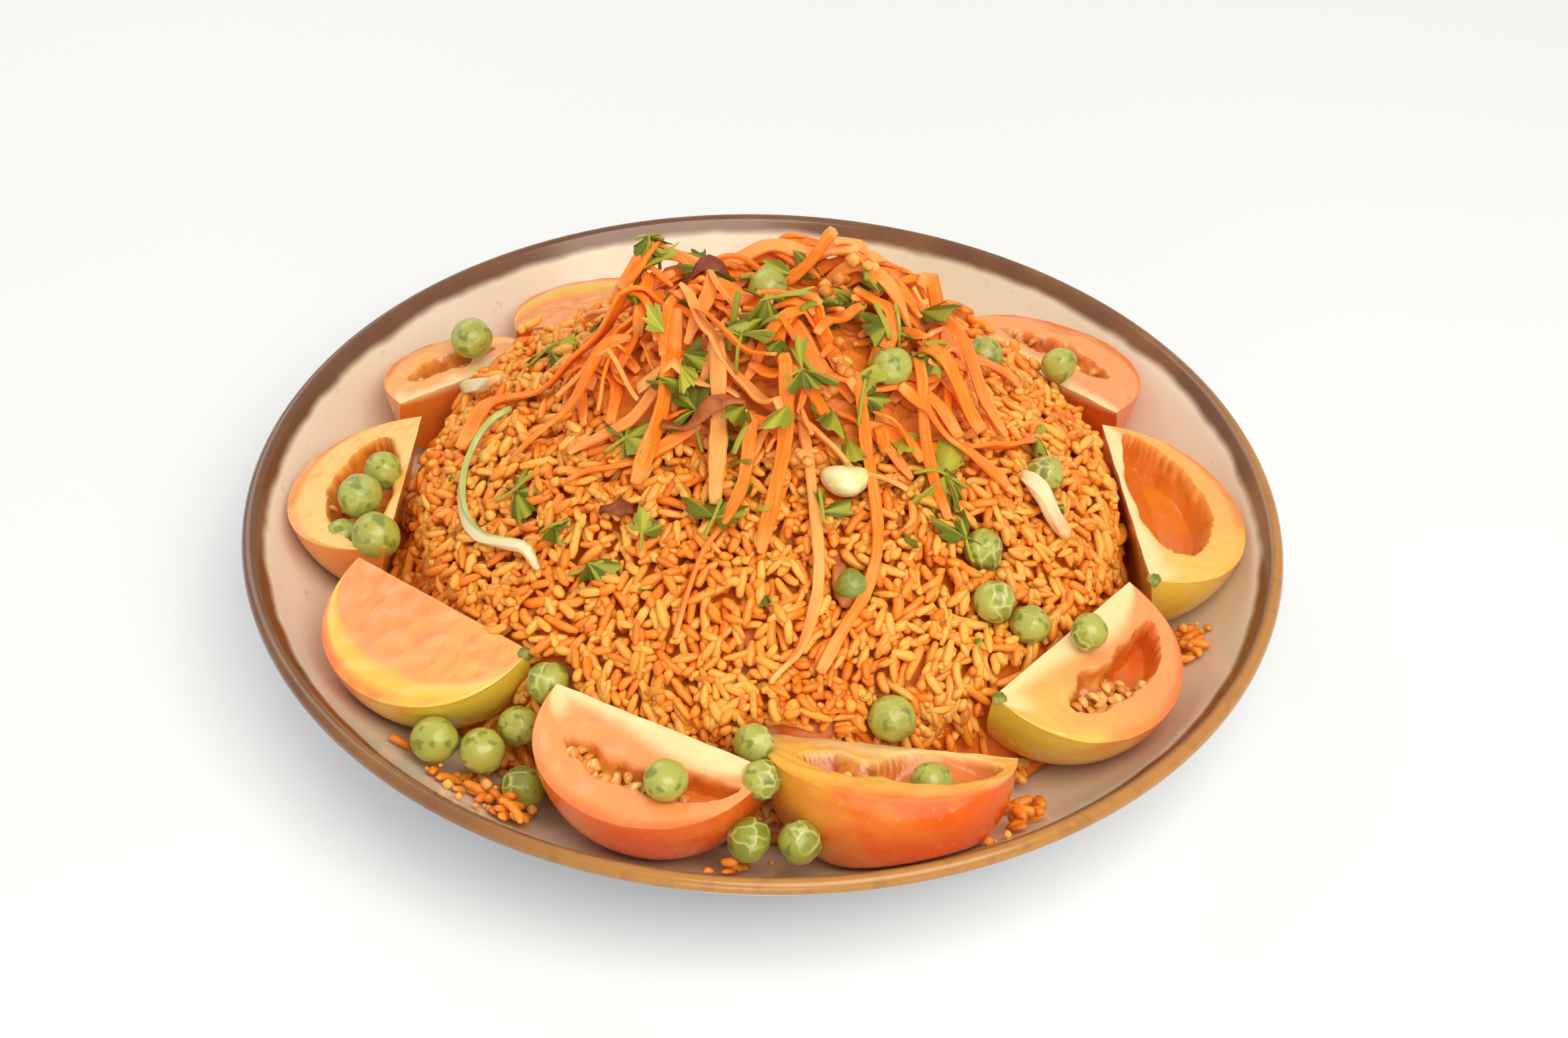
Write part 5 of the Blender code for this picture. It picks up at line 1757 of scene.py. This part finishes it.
class RICEPLATE_OT_herbs(Operator):
    """Coriander leaves and stems, fried shallots and golden crumbs"""

    bl_idname = "riceplate.herbs"
    bl_label = "Herbs and crumbs"

    def execute(self, context):
        """Scatter what lies on top."""
        settings = context.scene.riceplate_topping
        draw = random.Random(8)
        leaves = Forms()
        for x, y, size, heading in LEAVES:
            sprig(leaves, x, y, size, math.radians(heading), draw)
        for _ in range(NEST_STEMS):
            x, y = NEST_CENTRE.x + draw.gauss(0, 12), NEST_CENTRE.y - 4 + draw.gauss(0, 11)
            turn, half = draw.uniform(0, TAU), draw.uniform(1.8, 3.6)
            dx, dy = math.cos(turn) * half, math.sin(turn) * half
            bends = [(x - dx, y - dy, 0), (x, y, 0.3), (x + dx, y + dy, 0)]
            path = lay(smooth_path(bends, 1.0), ground, 1.1, 1.4, 0.8)
            stem(leaves, path, draw.uniform(1.0, 1.6), 0.8, 7, 0.8, draw.uniform(0.75, 1.0))
        for _ in range(NEST_LEAVES):
            angle = draw.uniform(0, TAU)
            reach = math.sqrt(draw.random())
            x = NEST_CENTRE.x + NEST_REACH.x * 0.8 * reach * math.cos(angle)
            y = NEST_CENTRE.y - 3 + NEST_REACH.y * 0.9 * reach * math.sin(angle)
            height = float(ground.near(x, y, 1.0)) + 0.4
            loose_leaf(leaves, x, y, height, (4.5, 9.0), 0.9, 0.7, draw)
        for _ in range(LEAF_BITS):
            angle = draw.uniform(0, TAU)
            reach = draw.uniform(25, 72)
            x, y = place_round(MOUND_CENTRE, reach, reach, angle)
            height = float(ground.near(x, y, 0.8))
            if not ground.blocked(height):
                loose_leaf(leaves, x, y, height + 0.3, (2.0, 4.5), 0.6, 0.6, draw)
        leaves.piece("coriander", leaf_material(settings), "pea", (), 50)

        shallots = Forms()
        for bends in SHALLOTS:
            path = lay(smooth_path(bends, 1.1), ground, 1.6, 4.2)
            t = np.linspace(0, 1, len(path))
            girth = 4.4 * (0.5 + 0.5 * np.sin(np.pi * (0.12 + 0.76 * t)))
            path[:, 2] += np.sin(t * 17) * 0.35
            ribbon = strand(path, girth, np.full(len(path), 1.3), 0.5 * np.sin(t * 8), 10, 0.8)
            shallots.add(*ribbon, draw.random())
        brown = crust_material("fried_shallot", settings.shallot, linear("B4622A"), 240.0)
        shallots.piece("fried_shallots", brown, "rice")

        crumbs = Forms()
        for cx, cy, spread, count, smallest, largest in CRUMBS:
            for _ in range(count):
                x, y = cx + draw.gauss(0, spread * 0.5), cy + draw.gauss(0, spread * 0.5)
                height = float(ground.near(x, y, 0.5))
                if ground.blocked(height) or math.hypot(x, y) > 104:
                    continue
                size = draw.uniform(smallest, largest)
                path = np.array([(x + t * size * 0.3, y + t * draw.uniform(-0.2, 0.2), height + size * 0.35)
                                 for t in (-1, 0, 1)])
                girth = np.array((0.55, 1.0, 0.6)) * size
                depths = girth * draw.uniform(0.7, 1)
                crumbs.add(*strand(path, girth, depths, np.full(3, draw.uniform(0, 3)), 7), draw.random())
        golden = crust_material("golden_crumb", linear("DC8A30"), settings.crumb, 420.0)
        crumbs.piece("golden_crumbs", golden, "rice")
        return {"FINISHED"}


class RICEPLATE_PT_sidebar(Panel):
    """The pieces of the plate of tomato rice, in the order in which they are made"""

    bl_idname = "RICEPLATE_PT_sidebar"
    bl_label = "Tomato rice"
    bl_space_type = "VIEW_3D"
    bl_region_type = "UI"
    bl_category = "Tomato rice"

    def draw(self, context):
        """List the operators and their settings."""
        for operator in OPERATORS:
            self.layout.operator(operator.bl_idname)
        for label in SETTINGS:
            box = self.layout.box()
            values = getattr(context.scene, "riceplate_" + label)
            for key in values.__annotations__:
                box.prop(values, key)


OPERATORS = (RICEPLATE_OT_stage, RICEPLATE_OT_plate, RICEPLATE_OT_tomatoes, RICEPLATE_OT_peas,
             RICEPLATE_OT_rice, RICEPLATE_OT_nest, RICEPLATE_OT_herbs)
SETTINGS = {"stage": StageSettings, "plate": PlateSettings, "tomato": TomatoSettings,
            "topping": ToppingSettings, "rice": RiceSettings, "nest": NestSettings}


def register():
    """Register the settings, the operators and the panel."""
    for label, settings in SETTINGS.items():
        bpy.utils.register_class(settings)
        setattr(bpy.types.Scene, "riceplate_" + label, PointerProperty(type=settings))
    for operator in OPERATORS:
        bpy.utils.register_class(operator)
    bpy.utils.register_class(RICEPLATE_PT_sidebar)


def unregister():
    """Undo register."""
    bpy.utils.unregister_class(RICEPLATE_PT_sidebar)
    for operator in reversed(OPERATORS):
        bpy.utils.unregister_class(operator)
    for label, settings in SETTINGS.items():
        delattr(bpy.types.Scene, "riceplate_" + label)
        bpy.utils.unregister_class(settings)


def main():
    """Make every piece in order."""
    register()
    bpy.ops.object.select_all(action="DESELECT")
    bpy.ops.riceplate.stage()
    bpy.ops.riceplate.plate()
    bpy.ops.riceplate.tomatoes()
    bpy.ops.riceplate.peas()
    bpy.ops.riceplate.rice()
    bpy.ops.riceplate.nest()
    bpy.ops.riceplate.herbs()


if __name__ == "__main__":
    main()
